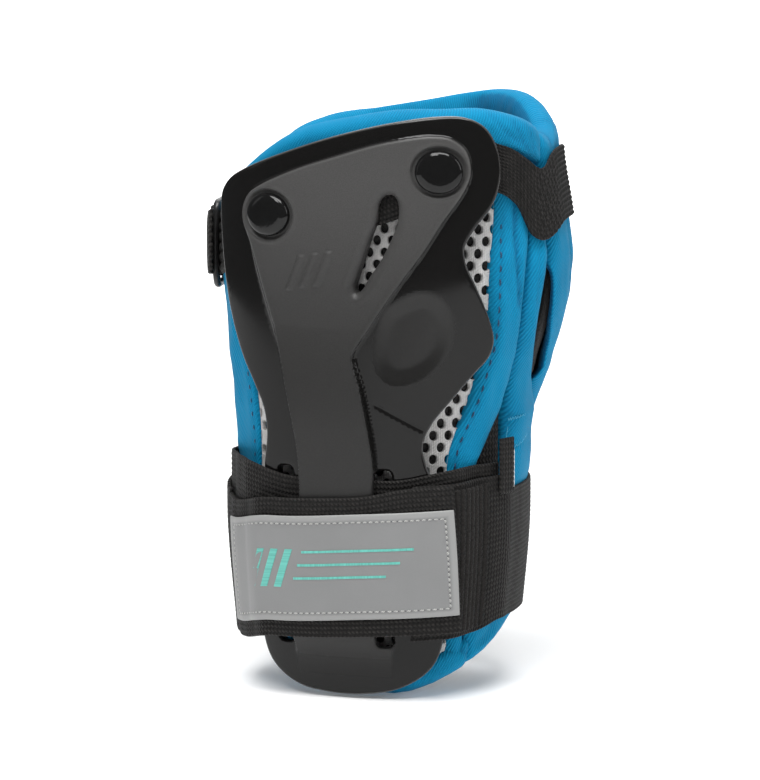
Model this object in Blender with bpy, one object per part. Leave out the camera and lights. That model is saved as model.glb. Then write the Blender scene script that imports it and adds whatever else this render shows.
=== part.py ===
"""Wrist guard for the right hand: a padded sleeve with a moulded palm shell, a strap for the
hand and a wide strap for the wrist.

The guard stands upright: +Z runs from the forearm to the fingers, -Y is the palm side with the
shell, and +X is the thumb side.  Every piece is laid out on the unrolled surface of the sleeve
and then wrapped round it.  A place on that surface is (s, z, t) in millimetres: s is the
distance round the sleeve from the middle of the palm, positive towards the thumb, z is the
height, and t is the distance out from the inner wall of the sleeve.
"""
import math

import bmesh
import bpy
import numpy as np
from mathutils import Vector
from mathutils.geometry import delaunay_2d_cdt

MM = 0.001

# The hollow of the sleeve: a rounded box that widens from the forearm to the knuckles.
WRIST_HALF_WIDTH = 32.3
FOREARM_GAIN = 4.0
HAND_GAIN = 11.0
WRIST_HALF_DEPTH = 23.0
DEPTH_GAIN = 2.0
SLEEVE_SHIFT = 1.3
HAND_SHIFT = 4.5
PALM_OFFSET = -2.3
PALM_DRIFT = -2.7
ROUNDING = 2.4
MEASURED_AT = 12.0

# Heights.
HAND_END = 190.0
HEM_FRONT = 2.0
HEM_SIDE = 21.0
# Heights that vary round the sleeve, as (share, height): they repeat after GIRTH_UNIT.
HAND_EDGE = (
    (-110, 176), (-80, 167), (-62, 167), (-42, 176), (-24, 187), (0, 196), (14, 198.5), (30, 199),
    (43, 197.8), (54, 194), (68, 183), (78, 181), (88, 187), (98, 193), (108, 194.5), (122, 193.5),
    (136, 191.5), (150, 189), (170, 185),
)
HAND_STRAP = (
    (-72, 147), (-60, 148), (-22, 161), (12, 172), (25, 177.5), (43, 177), (57, 166.5), (70, 171),
    (85, 171), (110, 167), (150, 160), (190, 152),
)

# Layers, from the inner wall out (low, high).
LINER = (0.0, 1.2)
PADDING = (2.0, 7.8)
SIDE_PADDING = (2.4, 11.6)
BACK_PADDING = (2.0, 8.0)
MESH = (8.9, 11.6)
SPLINT = (8.7, 10.4)
POCKET = (10.9, 11.8)
RIVET_BASE = (12.15, 12.85)
SHELL = (14.8, 17.4)
BRIDGE_RISE = 4.9
PANEL_RISE = 1.1
WEB = 1.2
TAPE = 0.6
TAPE_SPACING = 1.35
PATCH = 0.8

# Where the pieces meet round the sleeve, at a girth of GIRTH_UNIT.
GIRTH_UNIT = 300.0
SEAM_RIGHT = 66.0
SEAM_LEFT = -74.0
PALM_HALF = 50.0
END_BINDING = 7.5
SPLINT_LOW = 24.0
SPLINT_HIGH = 178.0
SPLINT_HALF = 13.0
POCKET_HALF = 20.0
EDGE_GAP = 0.5
BINDING_GAP = 1.4
HINGE_GAP = 1.3
THUMB_MIDDLE = 124.0
THUMB_HALF_HEIGHT = 27.0
THUMB_HALF_WIDTH = 7.0

# The palm shell.
BRIDGE_MIDDLE = -3.0
BRIDGE_HALF = 12.0
SLOT_INNER = 13.2
SLOT_OUTER = 18.5
SLOT_LOW = 17.0
SLOT_HIGH = 77.0
RIVETS = {"left": (-25.5, 161.5), "right": (28.5, 177.5)}
RIVET_HOLE = 3.0
DISH_CENTRE = (21.5, 121.0)

# Straps.
WRIST_STRAP_LOW = 19.0
WRIST_STRAP_HIGH = 69.0
BASE_STRAP_RAISE = 6.0
WRIST_STRAP_CLIMB = 5.0
BASE_STRAP_CLIMB = 4.0
BASE_SIDE = 12.9
BASE_FRONT = 18.5
OVER_BASE = 1.7
OVER_BRIDGE = 3.7
FLAP_HINGE = -48.0
FLAP_END = 34.5
HAND_STRAP_WIDTH = 24.0
HAND_SIDE = 12.9
UNDER_SHELL = 13.75
RING_FRONT = -60.0
RING_PITCH = 12.0
RING_LEVEL = 15.15
RING_BAR = 1.25
RING_HALF_HEIGHT = 14.0
LOOP_LEVEL = 19.0
FLAP_LEVEL = 16.5

# Grid steps of the wrapped sheets: round the sleeve and along it.
SOFT_STEP = (6.0, 15.0)
SHELL_STEP = (4.5, 5.5)

BLUE = (0.021, 0.366, 0.73)
BLACK = (0.02, 0.02, 0.021)
WEBBING = (0.027, 0.025, 0.024)
WHITE = (0.68, 0.67, 0.66)
GREY = (0.28, 0.285, 0.29)


def smooth(value):
    """Ease from 0 to 1 as the value goes from 0 to 1."""
    value = min(max(value, 0.0), 1.0)
    return value * value * (3.0 - 2.0 * value)


# ---------------------------------------------------------------- the wrapped surface

def widening(z):
    """How far the sleeve has widened, from 0 at the wrist to 1 at the hand."""
    return smooth((z - 90.0) / 55.0)


def girth(z):
    """Half width, half depth and sideways shift of the hollow at height z."""
    half_width = WRIST_HALF_WIDTH + FOREARM_GAIN * smooth(z / 60.0)
    half_width += HAND_GAIN * widening(z)
    half_depth = WRIST_HALF_DEPTH + DEPTH_GAIN * smooth(z / 60.0)
    shift = SLEEVE_SHIFT + HAND_SHIFT * widening(z)
    return half_width, half_depth, shift


TURNS = np.linspace(-math.pi, math.pi, 721)
AROUND_X = np.sign(np.sin(TURNS)) * np.abs(np.sin(TURNS)) ** (2.0 / ROUNDING)
AROUND_Y = -np.sign(np.cos(TURNS)) * np.abs(np.cos(TURNS)) ** (2.0 / ROUNDING)
DISTANCES = {}


def distances(z):
    """Distance round the sleeve from the middle of the palm, at each of TURNS."""
    key = round(z, 2)
    if key not in DISTANCES:
        half_width, half_depth, _ = girth(z)
        x = (half_width + MEASURED_AT) * AROUND_X
        y = (half_depth + MEASURED_AT) * AROUND_Y
        run = np.concatenate(([0.0], np.cumsum(np.hypot(np.diff(x), np.diff(y)))))
        DISTANCES[key] = run - run[len(run) // 2]
    return DISTANCES[key]


def full_girth(z):
    return 2.0 * distances(z)[-1]


def wrap(s, z, t):
    """The point in space, in millimetres, of a place on the sleeve."""
    whole = full_girth(z)
    s += PALM_OFFSET + PALM_DRIFT * widening(z)
    s = (s + whole / 2.0) % whole - whole / 2.0
    half_width, half_depth, shift = girth(z)
    x = np.interp(s, distances(z), AROUND_X)
    y = np.interp(s, distances(z), AROUND_Y)
    return Vector(((half_width + t) * x + shift, (half_depth + t) * y, z))


def at_share(share, z):
    """Distance round the sleeve at height z of a place given at a girth of GIRTH_UNIT."""
    return share * full_girth(z) / GIRTH_UNIT


def height_round(share, heights):
    """Height at a place round the sleeve, eased between the places that are listed."""
    share = (share - heights[0][0]) % GIRTH_UNIT + heights[0][0]
    closed = heights + ((heights[0][0] + GIRTH_UNIT, heights[0][1]),)
    for (start, low), (end, high) in zip(closed, closed[1:]):
        if share <= end:
            return low + (high - low) * smooth((share - start) / (end - start))
    return heights[0][1]


def hand_edge(s):
    """Height of the sleeve's hand end: highest by the index finger and low at both sides."""
    return height_round(s * GIRTH_UNIT / full_girth(HAND_END), HAND_EDGE)


def hem(s):
    """Height of the sleeve's forearm end, which is longest under the shell."""
    return HEM_FRONT + (HEM_SIDE - HEM_FRONT) * smooth((abs(s) - 12.0) / 55.0)


# ---------------------------------------------------------------- building objects

def new_object(name, bm, color, roughness):
    """Turn a bmesh in millimetres into a named object in metres with its own material."""
    bmesh.ops.scale(bm, vec=(MM, MM, MM), verts=bm.verts)
    bmesh.ops.recalc_face_normals(bm, faces=bm.faces)
    mesh = bpy.data.meshes.new(name)
    bm.to_mesh(mesh)
    bm.free()
    mesh.shade_smooth()
    mesh.set_sharp_from_angle(angle=math.radians(35.0))
    obj = bpy.data.objects.new(name, mesh)
    bpy.context.scene.collection.objects.link(obj)
    material = bpy.data.materials.new(name)
    material.use_nodes = True
    shader = material.node_tree.nodes["Principled BSDF"]
    shader.inputs["Base Color"].default_value = (*color, 1.0)
    shader.inputs["Roughness"].default_value = roughness
    shader.inputs["Metallic"].default_value = 0.0
    mesh.materials.append(material)
    return obj


def inside(point, loop):
    """Whether a point lies inside a closed outline."""
    x, y = point
    hit = False
    for (ax, ay), (bx, by) in zip(loop, loop[1:] + loop[:1]):
        if (ay > y) != (by > y) and x < ax + (y - ay) * (bx - ax) / (by - ay):
            hit = not hit
    return hit


def finer(loop, step):
    """The same outline with no side longer than the steps of the grid."""
    points = []
    for (ax, ay), (bx, by) in zip(loop, loop[1:] + loop[:1]):
        parts = max(1, math.ceil(max(abs(bx - ax) / step[0], abs(by - ay) / step[1])))
        points += [(ax + (bx - ax) * k / parts, ay + (by - ay) * k / parts) for k in range(parts)]
    return points


def flat_mesh(outline, holes, step):
    """Points and triangles that fill an outline, on a grid coarse enough to wrap well."""
    loops = [finer(outline, step)] + [finer(hole, step) for hole in holes]
    points = [point for loop in loops for point in loop]
    edges = []
    first = 0
    for loop in loops:
        edges += [(first + k, first + (k + 1) % len(loop)) for k in range(len(loop))]
        first += len(loop)
    border = np.array(points)
    (low_s, low_z), (high_s, high_z) = border.min(0), border.max(0)
    for s in np.arange(math.ceil(low_s / step[0]) * step[0], high_s, step[0]):
        for z in np.arange(math.ceil(low_z / step[1]) * step[1], high_z, step[1]):
            clear = np.abs((border - (s, z)) / step).max(1).min() > 0.45
            if clear and sum(inside((s, z), loop) for loop in loops) == 1:
                points.append((s, z))
    filled = delaunay_2d_cdt([Vector(point) for point in points], edges, [], 0, 1e-5)
    points = [tuple(point) for point in filled[0]]
    triangles = []
    for face in filled[2]:
        middle = np.mean([points[k] for k in face], axis=0)
        if sum(inside(middle, loop) for loop in loops) == 1:
            triangles.append(face)
    return points, triangles


def sheet(name, outline, layer, color, roughness, holes=(), rise=None, step=SOFT_STEP):
    """A wrapped sheet between two layers, with an outline on the unrolled surface."""
    points, triangles = flat_mesh(outline, holes, step)
    lift = [rise(s, z) if rise else 0.0 for s, z in points]
    bm = bmesh.new()
    under = [bm.verts.new(wrap(s, z, layer[0] + up)) for (s, z), up in zip(points, lift)]
    over = [bm.verts.new(wrap(s, z, layer[1] + up)) for (s, z), up in zip(points, lift)]
    sides = {}
    for a, b, c in triangles:
        bm.faces.new((over[a], over[b], over[c]))
        bm.faces.new((under[c], under[b], under[a]))
        for edge in ((a, b), (b, c), (c, a)):
            sides[edge] = True
    for a, b in sides:
        if (b, a) not in sides:
            bm.faces.new((over[b], over[a], under[a], under[b]))
    loose = [vertex for vertex in bm.verts if not vertex.link_faces]
    bmesh.ops.delete(bm, geom=loose, context="VERTS")
    return new_object(name, bm, color, roughness)


def raised(route, height):
    """The route that runs beside another one, at a height to its left."""
    route = np.array(route, float)
    along = np.gradient(route, axis=0)
    along /= np.linalg.norm(along, axis=1)[:, None]
    return route + np.stack([-along[:, 1], along[:, 0]], axis=1) * height


def band(name, route, low, high, thickness, color, lift=None, rows=3):
    """A strap: a route of (share, t) points round the sleeve, with height and thickness.

    The strap is raised by lift(share).
    """
    bm = bmesh.new()
    rings = []
    outer = raised(route, thickness / 2.0)
    inner = raised(route, -thickness / 2.0)
    for share, t in np.concatenate([outer, inner[::-1]]):
        ring = []
        for row in range(rows + 1):
            z = low + (high - low) * row / rows + (lift(share) if lift else 0.0)
            ring.append(bm.verts.new(wrap(at_share(share, z), z, t)))
        rings.append(ring)
    count = len(rings)
    for k in range(count):
        here, there = rings[k], rings[(k + 1) % count]
        for row in range(rows):
            bm.faces.new((here[row], there[row], there[row + 1], here[row + 1]))
    half = count // 2
    for k in range(half - 1):
        for row in (0, rows):
            outer = (rings[k][row], rings[k + 1][row])
            bm.faces.new(outer + (rings[count - 2 - k][row], rings[count - 1 - k][row]))
    return new_object(name, bm, color, 0.85)


def turned(name, centre, profile, color, roughness, sides=24):
    """A round piece turned about an axis that stands on the sleeve.

    The profile is a list of (radius, t) from its lowest point on the axis to its highest.
    """
    bm = bmesh.new()
    s, z = centre
    rings = []
    for radius, t in profile:
        if radius == 0.0:
            rings.append([bm.verts.new(wrap(s, z, t))])
            continue
        turns = [2.0 * math.pi * k / sides for k in range(sides)]
        rings.append([bm.verts.new(wrap(s + radius * math.cos(a), z + radius * math.sin(a), t)) for a in turns])
    for here, there in zip(rings, rings[1:]):
        for k in range(sides):
            corners = [here[k % len(here)], here[(k + 1) % len(here)]]
            corners += [there[(k + 1) % len(there)], there[k % len(there)]]
            bm.faces.new(list(dict.fromkeys(corners)))
    return new_object(name, bm, color, roughness)


def cut(obj, cutter):
    modifier = obj.modifiers.new("hole", "BOOLEAN")
    modifier.operation = "DIFFERENCE"
    modifier.solver = "EXACT"
    modifier.object = cutter


# ---------------------------------------------------------------- outlines

def arc(centre, radius, start, end, parts):
    """Points on an arc, with its angles in degrees and a radius or a pair of radii."""
    across, up = radius if isinstance(radius, tuple) else (radius, radius)
    angles = [math.radians(start + (end - start) * k / parts) for k in range(parts + 1)]
    return [(centre[0] + across * math.cos(a), centre[1] + up * math.sin(a)) for a in angles]


def climb(edge, low, high, parts=12):
    """Points up a side edge, whose distance round the sleeve is edge(z)."""
    return [(edge(low + (high - low) * k / parts), low + (high - low) * k / parts) for k in range(parts + 1)]


def along_curve(left, right, curve, parts):
    """Points on the curve z = curve(s), from where it meets one side edge to the other."""
    ends = []
    for edge in (left, right):
        z = curve(edge(100.0))
        for _ in range(3):
            z = curve(edge(z))
        ends.append(edge(z))
    return [(s, curve(s)) for s in np.linspace(*ends, parts + 1)]


def panel_outline(left, right, bottom, top, parts=10):
    """A panel between two side edges, from the curve bottom(s) to the curve top(s)."""
    lower = along_curve(left, right, bottom, parts)
    upper = along_curve(left, right, top, parts)
    outline = list(lower)
    outline += climb(right, lower[-1][1], upper[-1][1])[1:-1]
    outline += upper[::-1]
    outline += climb(left, lower[0][1], upper[0][1])[-2:0:-1]
    return outline


def thumb_width(z):
    """How far the thumb opening reaches to each side of the thumb seam."""
    reach = 1.0 - ((z - THUMB_MIDDLE) / THUMB_HALF_HEIGHT) ** 2
    return THUMB_HALF_WIDTH * math.sqrt(max(reach, 0.0))


def thumb_seam_front(z):
    return at_share(SEAM_RIGHT, z) - EDGE_GAP - thumb_width(z)


def thumb_seam_back(z):
    return at_share(SEAM_RIGHT, z) + EDGE_GAP + thumb_width(z)


def left_seam_front(z):
    return at_share(SEAM_LEFT, z) + EDGE_GAP


def left_seam_back(z):
    return at_share(SEAM_LEFT + GIRTH_UNIT, z) - EDGE_GAP


def shell_outline():
    """The palm shell: a broad top, a waist, a lobe by the thumb and a round forearm end."""
    outline = arc((0.5, 18.0), (30.0, 18.0), 180.0, 360.0, 14)
    outline += [(31.0, 40.0), (30.0, 72.0)]
    outline += [(26.5, 81.0), (25.5, 87.0), (28.0, 93.5), (34.5, 100.0)]
    outline += [(42.5, 109.0), (46.5, 115.0), (47.5, 120.0), (45.5, 127.5)]
    outline += [(40.5, 139.0), (37.0, 147.0), (36.5, 152.0), (39.5, 158.0), (45.0, 166.0)]
    outline += [(47.5, 173.0), (47.5, 180.0), (46.0, 187.0), (42.5, 192.5), (37.0, 195.5), (29.0, 195.6)]
    outline += [(14.0, 193.5), (-4.0, 188.8), (-21.0, 182.8), (-36.0, 176.5)]
    outline += [(-43.0, 172.5), (-47.0, 168.0), (-48.0, 162.5)]
    outline += [(-46.0, 140.0), (-42.5, 126.0), (-37.0, 113.0), (-31.5, 103.0)]
    outline += [(-28.5, 96.0), (-27.5, 88.0), (-28.5, 78.0), (-29.0, 40.0)]
    return outline


def strap_slot(side):
    """One of the two long slots that the wrist strap goes through."""
    inner, outer = BRIDGE_MIDDLE + side * SLOT_INNER, BRIDGE_MIDDLE + side * SLOT_OUTER
    return [(inner, SLOT_LOW), (outer, SLOT_LOW), (outer, SLOT_HIGH), (inner, SLOT_HIGH)]


def vent_slot():
    """A slanting slot beside the right rivet, wide at its top and pointed below."""
    outline = [(11.0, 168.5), (15.5, 169.5), (16.5, 165.0), (13.0, 156.0)]
    outline += [(6.0, 141.0), (2.5, 138.5), (3.5, 145.0), (9.0, 160.0)]
    return outline


def shell_rise(s, z):
    """How far the shell stands above its wings: the bridge, the raised panel and the dish."""
    aside = abs(s - BRIDGE_MIDDLE)
    across = smooth((SLOT_OUTER + 0.5 - aside) / (SLOT_OUTER + 0.5 - BRIDGE_HALF))
    along = smooth((z - 3.0) / 13.0) * smooth((138.0 - z) / 55.0)
    bridge = BRIDGE_RISE * across * along
    panel = PANEL_RISE * smooth((38.0 - abs(s - 2.0)) / 6.0) * smooth((z - 120.0) / 25.0)
    away = math.hypot((s - DISH_CENTRE[0]) / 11.0, (z - DISH_CENTRE[1]) / 15.0)
    dish = -1.2 * smooth((1.1 - away) / 0.6)
    return max(bridge, panel) + dish


def strap_rise(s):
    """Height of the wrist strap's middle: low on the sides, high over the shell's wings."""
    return BASE_SIDE + (BASE_FRONT - BASE_SIDE) * (1.0 - smooth((abs(s) - 34.0) / 14.0))


def flap_rise(s):
    """Height of the closing flap's middle, which also goes over the bridge."""
    return strap_rise(s) + OVER_BASE + OVER_BRIDGE * smooth((s + 34.0) / 10.0)


def spaced(start, end, step):
    return np.linspace(start, end, max(2, round(abs(end - start) / step) + 1))


# ---------------------------------------------------------------- sub-parts

def make_sleeve():
    """The liner, the padding, the mesh and the blue cloth panels and bindings."""
    def palm_left(z):
        return at_share(-PALM_HALF, z)

    def palm_right(z):
        return at_share(PALM_HALF, z)

    def side_left(z):
        return palm_left(z) - EDGE_GAP

    def side_right(z):
        return palm_right(z) + EDGE_GAP

    def mesh_left(z):
        return -35.0 - 9.0 * smooth((z - 76.0) / 60.0)

    def mesh_right(z):
        return 34.0 + 13.0 * smooth((z - 80.0) / 45.0)

    def trim_left(z):
        return mesh_left(z) - EDGE_GAP

    def trim_right(z):
        return mesh_right(z) + EDGE_GAP

    def mesh_low(s):
        return hem(s) + END_BINDING + EDGE_GAP

    def hem_top(s):
        return hem(s) + END_BINDING

    def mesh_top(s):
        return hand_edge(s) - END_BINDING - BINDING_GAP

    def binding_low(s):
        return hand_edge(s) - END_BINDING

    def back_hem(s):
        return HEM_SIDE

    palm = panel_outline(left_seam_front, thumb_seam_front, hem, hand_edge)
    sheet("liner_palm", palm, LINER, BLACK, 0.9)
    back = panel_outline(thumb_seam_back, left_seam_back, back_hem, hand_edge)
    sheet("liner_back", back, LINER, BLACK, 0.9)
    sheet("back_panel", back, BACK_PADDING, BLUE, 0.8)
    foam = panel_outline(palm_left, palm_right, hem, hand_edge)
    sheet("palm_foam_pad", foam, PADDING, BLACK, 0.9)
    left = panel_outline(left_seam_front, side_left, hem, hand_edge, 4)
    sheet("side_panel_left", left, SIDE_PADDING, BLUE, 0.8)
    right = panel_outline(side_right, thumb_seam_front, hem, hand_edge, 4)
    sheet("side_panel_right", right, SIDE_PADDING, BLUE, 0.8)
    mesh = panel_outline(mesh_left, mesh_right, mesh_low, mesh_top, 14)
    sheet("mesh_panel", mesh, MESH, WHITE, 0.9)
    binding = panel_outline(palm_left, trim_left, mesh_low, mesh_top, 4)
    sheet("palm_binding_left", binding, MESH, BLUE, 0.8)
    binding = panel_outline(trim_right, palm_right, mesh_low, mesh_top, 4)
    sheet("palm_binding_right", binding, MESH, BLUE, 0.8)
    binding = panel_outline(palm_left, palm_right, binding_low, hand_edge, 18)
    sheet("hand_end_binding", binding, MESH, BLUE, 0.8)
    binding = panel_outline(palm_left, palm_right, hem, hem_top)
    sheet("forearm_end_binding", binding, MESH, BLUE, 0.8)


def make_back():
    """The stiffener of the back of the hand and the pocket that holds it."""
    middle = GIRTH_UNIT / 2.0

    def strip(half):
        corners = [(half, SPLINT_LOW), (half, SPLINT_HIGH), (-half, SPLINT_HIGH), (-half, SPLINT_LOW)]
        return [(at_share(middle, z) + s, z) for s, z in finer(corners, (8.0, 8.0))]

    sheet("back_splint", strip(SPLINT_HALF), SPLINT, BLACK, 0.5)
    sheet("splint_pocket", strip(POCKET_HALF), POCKET, BLUE, 0.9)


def make_shell():
    """The palm shell, its two rivets, and the cutters of the rivets' holes in the webbing."""
    rivet_holes = [arc(centre, RIVET_HOLE, 0.0, 330.0, 11) for centre in RIVETS.values()]
    holes = [strap_slot(-1), strap_slot(1), vent_slot()] + rivet_holes
    sheet("palm_shell", shell_outline(), SHELL, BLACK, 0.35, holes, shell_rise, SHELL_STEP)
    cutters = {}
    for side, centre in RIVETS.items():
        seat = SHELL[1] + PANEL_RISE
        post = 2.4
        cap = [(0.0, RIVET_BASE[1] + 0.3), (post, RIVET_BASE[1] + 0.3), (post, seat + 0.4), (7.4, seat + 0.4)]
        cap += [(7.5, seat + 1.1), (6.6, seat + 1.9), (4.0, seat + 2.5), (0.0, seat + 2.7)]
        turned("rivet_cap_" + side, centre, cap, BLACK, 0.15)
        base = [(0.0, RIVET_BASE[0]), (6.0, RIVET_BASE[0]), (6.0, RIVET_BASE[1]), (0.0, RIVET_BASE[1])]
        turned("rivet_base_" + side, centre, base, BLACK, 0.4)
        hole = [(0.0, RIVET_BASE[1]), (RIVET_HOLE, RIVET_BASE[1]), (RIVET_HOLE, SHELL[0]), (0.0, SHELL[0])]
        cutters[side] = turned("rivet_hole_" + side, centre, hole, BLACK, 0.5, 16)
        cutters[side].hide_render = True
        cutters[side].display_type = "WIRE"
    return cutters


def hand_strap_height(share):
    """Height of the middle of the hand strap, which dips at the root of the thumb."""
    return height_round(share, HAND_STRAP)


def wrist_strap_lift(share):
    """How far the wrist strap climbs towards the thumb side of the front."""
    return WRIST_STRAP_CLIMB * smooth((share + 40.0) / 100.0) * smooth((220.0 - share) / 100.0)


def base_strap_lift(share):
    """How far the strap through the shell climbs to each side of the bridge."""
    return BASE_STRAP_CLIMB * smooth((abs(share) - 15.0) / 25.0)


def make_hand_strap(cutters):
    """The strap over the back of the hand, its ring on the little-finger side and its flap."""
    low, high = -HAND_STRAP_WIDTH / 2.0, HAND_STRAP_WIDTH / 2.0
    rear = RING_FRONT - RING_PITCH

    def level(share):
        return HAND_SIDE + (UNDER_SHELL - HAND_SIDE) * (1.0 - smooth((abs(share) - 45.0) / 12.0))

    def turn_round(share, side, start):
        radius = (LOOP_LEVEL - start) / 2.0
        return [(share + side * radius * math.sin(a), start + radius * (1.0 - math.cos(a)))
                for a in np.radians(np.arange(0.0, 181.0, 30.0))]

    route = [(s, level(s)) for s in spaced(14.0, 60.0, 6.0)]
    route += [(s, HAND_SIDE) for s in spaced(65.0, GIRTH_UNIT + rear - 5.0, 6.0)]
    route += turn_round(GIRTH_UNIT + rear, 1.0, HAND_SIDE)
    route += [(GIRTH_UNIT + rear - 5.0, LOOP_LEVEL)]
    strap = band("hand_strap", route, low, high, WEB, WEBBING, hand_strap_height, 2)
    cut(strap, cutters["right"])

    def tab_turn(share):
        radius = RING_BAR + 0.4 + WEB / 2.0
        return [(share - radius * math.sin(a), RING_LEVEL - radius * math.cos(a))
                for a in np.radians(np.arange(0.0, 181.0, 30.0))]

    tab_low = RING_LEVEL - RING_BAR - 0.4 - WEB / 2.0
    route = [(s, level(s)) for s in spaced(-12.0, -57.0, 5.0)]
    route += tab_turn(RING_FRONT)
    route += [(RING_FRONT + 7.0, 2.0 * RING_LEVEL - tab_low)]
    tab = band("ring_tab", route, low + 1.0, high - 1.0, WEB, WEBBING, hand_strap_height, 2)
    cut(tab, cutters["left"])
    make_ring()

    start = GIRTH_UNIT + rear - 5.0 - EDGE_GAP
    end = start - 60.0
    step = LOOP_LEVEL - FLAP_LEVEL
    flap = [(s, FLAP_LEVEL + step * smooth((s - start + 14.0) / 14.0)) for s in spaced(start, end, 6.0)]
    band("hand_flap", flap, low, high, WEB, WEBBING, hand_strap_height, 2)
    hook = [(s, FLAP_LEVEL - TAPE_SPACING) for s in spaced(end + 2.0, start - 20.0, 6.0)]
    band("hand_hook_tape", hook, low + 1.5, high - 1.5, TAPE, BLACK, hand_strap_height, 2)
    loop = [(s, HAND_SIDE + TAPE_SPACING) for s in spaced(end - 12.0, start - 8.0, 6.0)]
    band("hand_loop_tape", loop, low + 1.5, high - 1.5, TAPE, BLACK, hand_strap_height, 2)


def make_ring():
    """The rectangular ring: a round bar bent into a closed loop."""
    bm = bmesh.new()
    half = RING_PITCH / 2.0
    centre = RING_FRONT - half
    corner = 2.0
    path = []
    for across, up, start in ((1, 1, 0.0), (-1, 1, 90.0), (-1, -1, 180.0), (1, -1, 270.0)):
        middle = (across * (half - corner), up * (RING_HALF_HEIGHT - corner))
        path += arc(middle, corner, start, start + 90.0, 3)
    rings = []
    count = len(path)
    for k, (share, up) in enumerate(path):
        before, after = path[k - 1], path[(k + 1) % count]
        run = Vector((after[0] - before[0], after[1] - before[1])).normalized()
        ring = []
        for a in np.radians(np.arange(0.0, 360.0, 45.0)):
            s = centre + share + RING_BAR * math.cos(a) * run.y
            z = hand_strap_height(centre) + up - RING_BAR * math.cos(a) * run.x
            t = RING_LEVEL + RING_BAR * math.sin(a)
            ring.append(bm.verts.new(wrap(at_share(s, z), z, t)))
        rings.append(ring)
    for k in range(count):
        here, there = rings[k], rings[(k + 1) % count]
        for j in range(8):
            bm.faces.new((here[j], here[(j + 1) % 8], there[(j + 1) % 8], there[j]))
    new_object("strap_ring", bm, BLACK, 0.4)


def make_wrist_straps():
    """The strap through the shell, the strap round the back and the closing flap."""
    low, high = WRIST_STRAP_LOW, WRIST_STRAP_HIGH
    base = [(s, strap_rise(s)) for s in spaced(-62.0, 57.0, 4.0)]
    base_low, base_high = low + BASE_STRAP_RAISE, high + BASE_STRAP_RAISE - 1.0
    band("wrist_base_strap", base, base_low, base_high, WEB, WEBBING, base_strap_lift)
    around = [(s, strap_rise(s) + OVER_BASE) for s in spaced(23.0, 60.0, 3.0)]
    end = GIRTH_UNIT + FLAP_HINGE - HINGE_GAP
    around += [(s, BASE_SIDE + OVER_BASE) for s in spaced(65.0, end, 6.0)]
    band("wrist_strap", around, low, high, WEB, WEBBING, wrist_strap_lift)
    landing = [(s, strap_rise(s) + OVER_BASE) for s in spaced(24.0, 50.0, 3.0)]
    band("wrist_loop_tape", raised(landing, TAPE_SPACING), low + 2.0, high - 2.0, TAPE, BLACK, wrist_strap_lift)
    flap = [(s, flap_rise(s)) for s in spaced(FLAP_HINGE, FLAP_END, 4.0)]
    band("wrist_flap", flap, low, high, WEB, WEBBING, wrist_strap_lift)
    hook = [(s, flap_rise(s)) for s in spaced(23.5, FLAP_END - 1.0, 4.0)]
    band("wrist_hook_tape", raised(hook, -TAPE_SPACING), low + 2.0, high - 2.0, TAPE, BLACK, wrist_strap_lift)
    patch = [(s, flap_rise(s)) for s in spaced(-36.0, FLAP_END - 1.5, 4.0)]
    band("label_patch", raised(patch, TAPE_SPACING + 0.1), 26.0, 61.0, PATCH, GREY, wrist_strap_lift)
    tab = [(s, strap_rise(s) + 3.9) for s in (52.0, 55.0, 58.0)]
    band("anchor_tab", tab, 71.0, 87.0, WEB, WEBBING)
    care = [(s, strap_rise(s) + 3.9) for s in (58.8, 60.5, 62.0)]
    band("blank_side_label", care, 73.0, 86.0, 0.5, WHITE)


def stand_on_origin():
    """Move everything so that the middle of the box's underside is the origin."""
    pieces = [obj for obj in bpy.context.scene.objects if obj.type == "MESH"]
    shown = [obj for obj in pieces if not obj.hide_render]
    corners = np.array([obj.matrix_world @ vertex.co for obj in shown for vertex in obj.data.vertices])
    low, high = corners.min(0), corners.max(0)
    shift = Vector((-(low[0] + high[0]) / 2.0, -(low[1] + high[1]) / 2.0, -low[2]))
    for obj in pieces:
        for vertex in obj.data.vertices:
            vertex.co += shift


def main():
    for obj in list(bpy.data.objects):
        bpy.data.objects.remove(obj, do_unlink=True)
    make_sleeve()
    make_back()
    cutters = make_shell()
    make_hand_strap(cutters)
    make_wrist_straps()
    stand_on_origin()


main()
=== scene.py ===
"""The looks of the right-hand wrist guard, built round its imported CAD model.

A place on the sleeve is (s, z, t) in millimetres, as in the CAD: s is the distance round the
sleeve from the middle of the palm, positive towards the thumb, z is the height, and t is the
distance out from the inner wall.  A share is s at a girth of GIRTH_UNIT.
"""
import math

import bpy
import numpy as np
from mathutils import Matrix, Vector
from mathutils.geometry import delaunay_2d_cdt


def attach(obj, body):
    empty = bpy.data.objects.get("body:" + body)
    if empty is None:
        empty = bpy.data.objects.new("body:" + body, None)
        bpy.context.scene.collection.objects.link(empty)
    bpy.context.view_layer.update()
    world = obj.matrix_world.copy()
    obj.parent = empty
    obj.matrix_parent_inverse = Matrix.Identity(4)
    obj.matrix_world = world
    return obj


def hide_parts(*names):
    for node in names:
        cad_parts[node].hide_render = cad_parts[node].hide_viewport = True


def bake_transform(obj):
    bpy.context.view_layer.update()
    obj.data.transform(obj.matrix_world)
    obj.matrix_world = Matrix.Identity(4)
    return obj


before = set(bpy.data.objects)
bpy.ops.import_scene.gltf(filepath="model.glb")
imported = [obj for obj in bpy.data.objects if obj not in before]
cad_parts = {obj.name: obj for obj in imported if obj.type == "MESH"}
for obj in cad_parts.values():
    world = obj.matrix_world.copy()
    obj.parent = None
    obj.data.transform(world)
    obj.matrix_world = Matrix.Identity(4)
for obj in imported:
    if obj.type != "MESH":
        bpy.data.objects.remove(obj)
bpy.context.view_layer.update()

MM = 0.001

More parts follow.
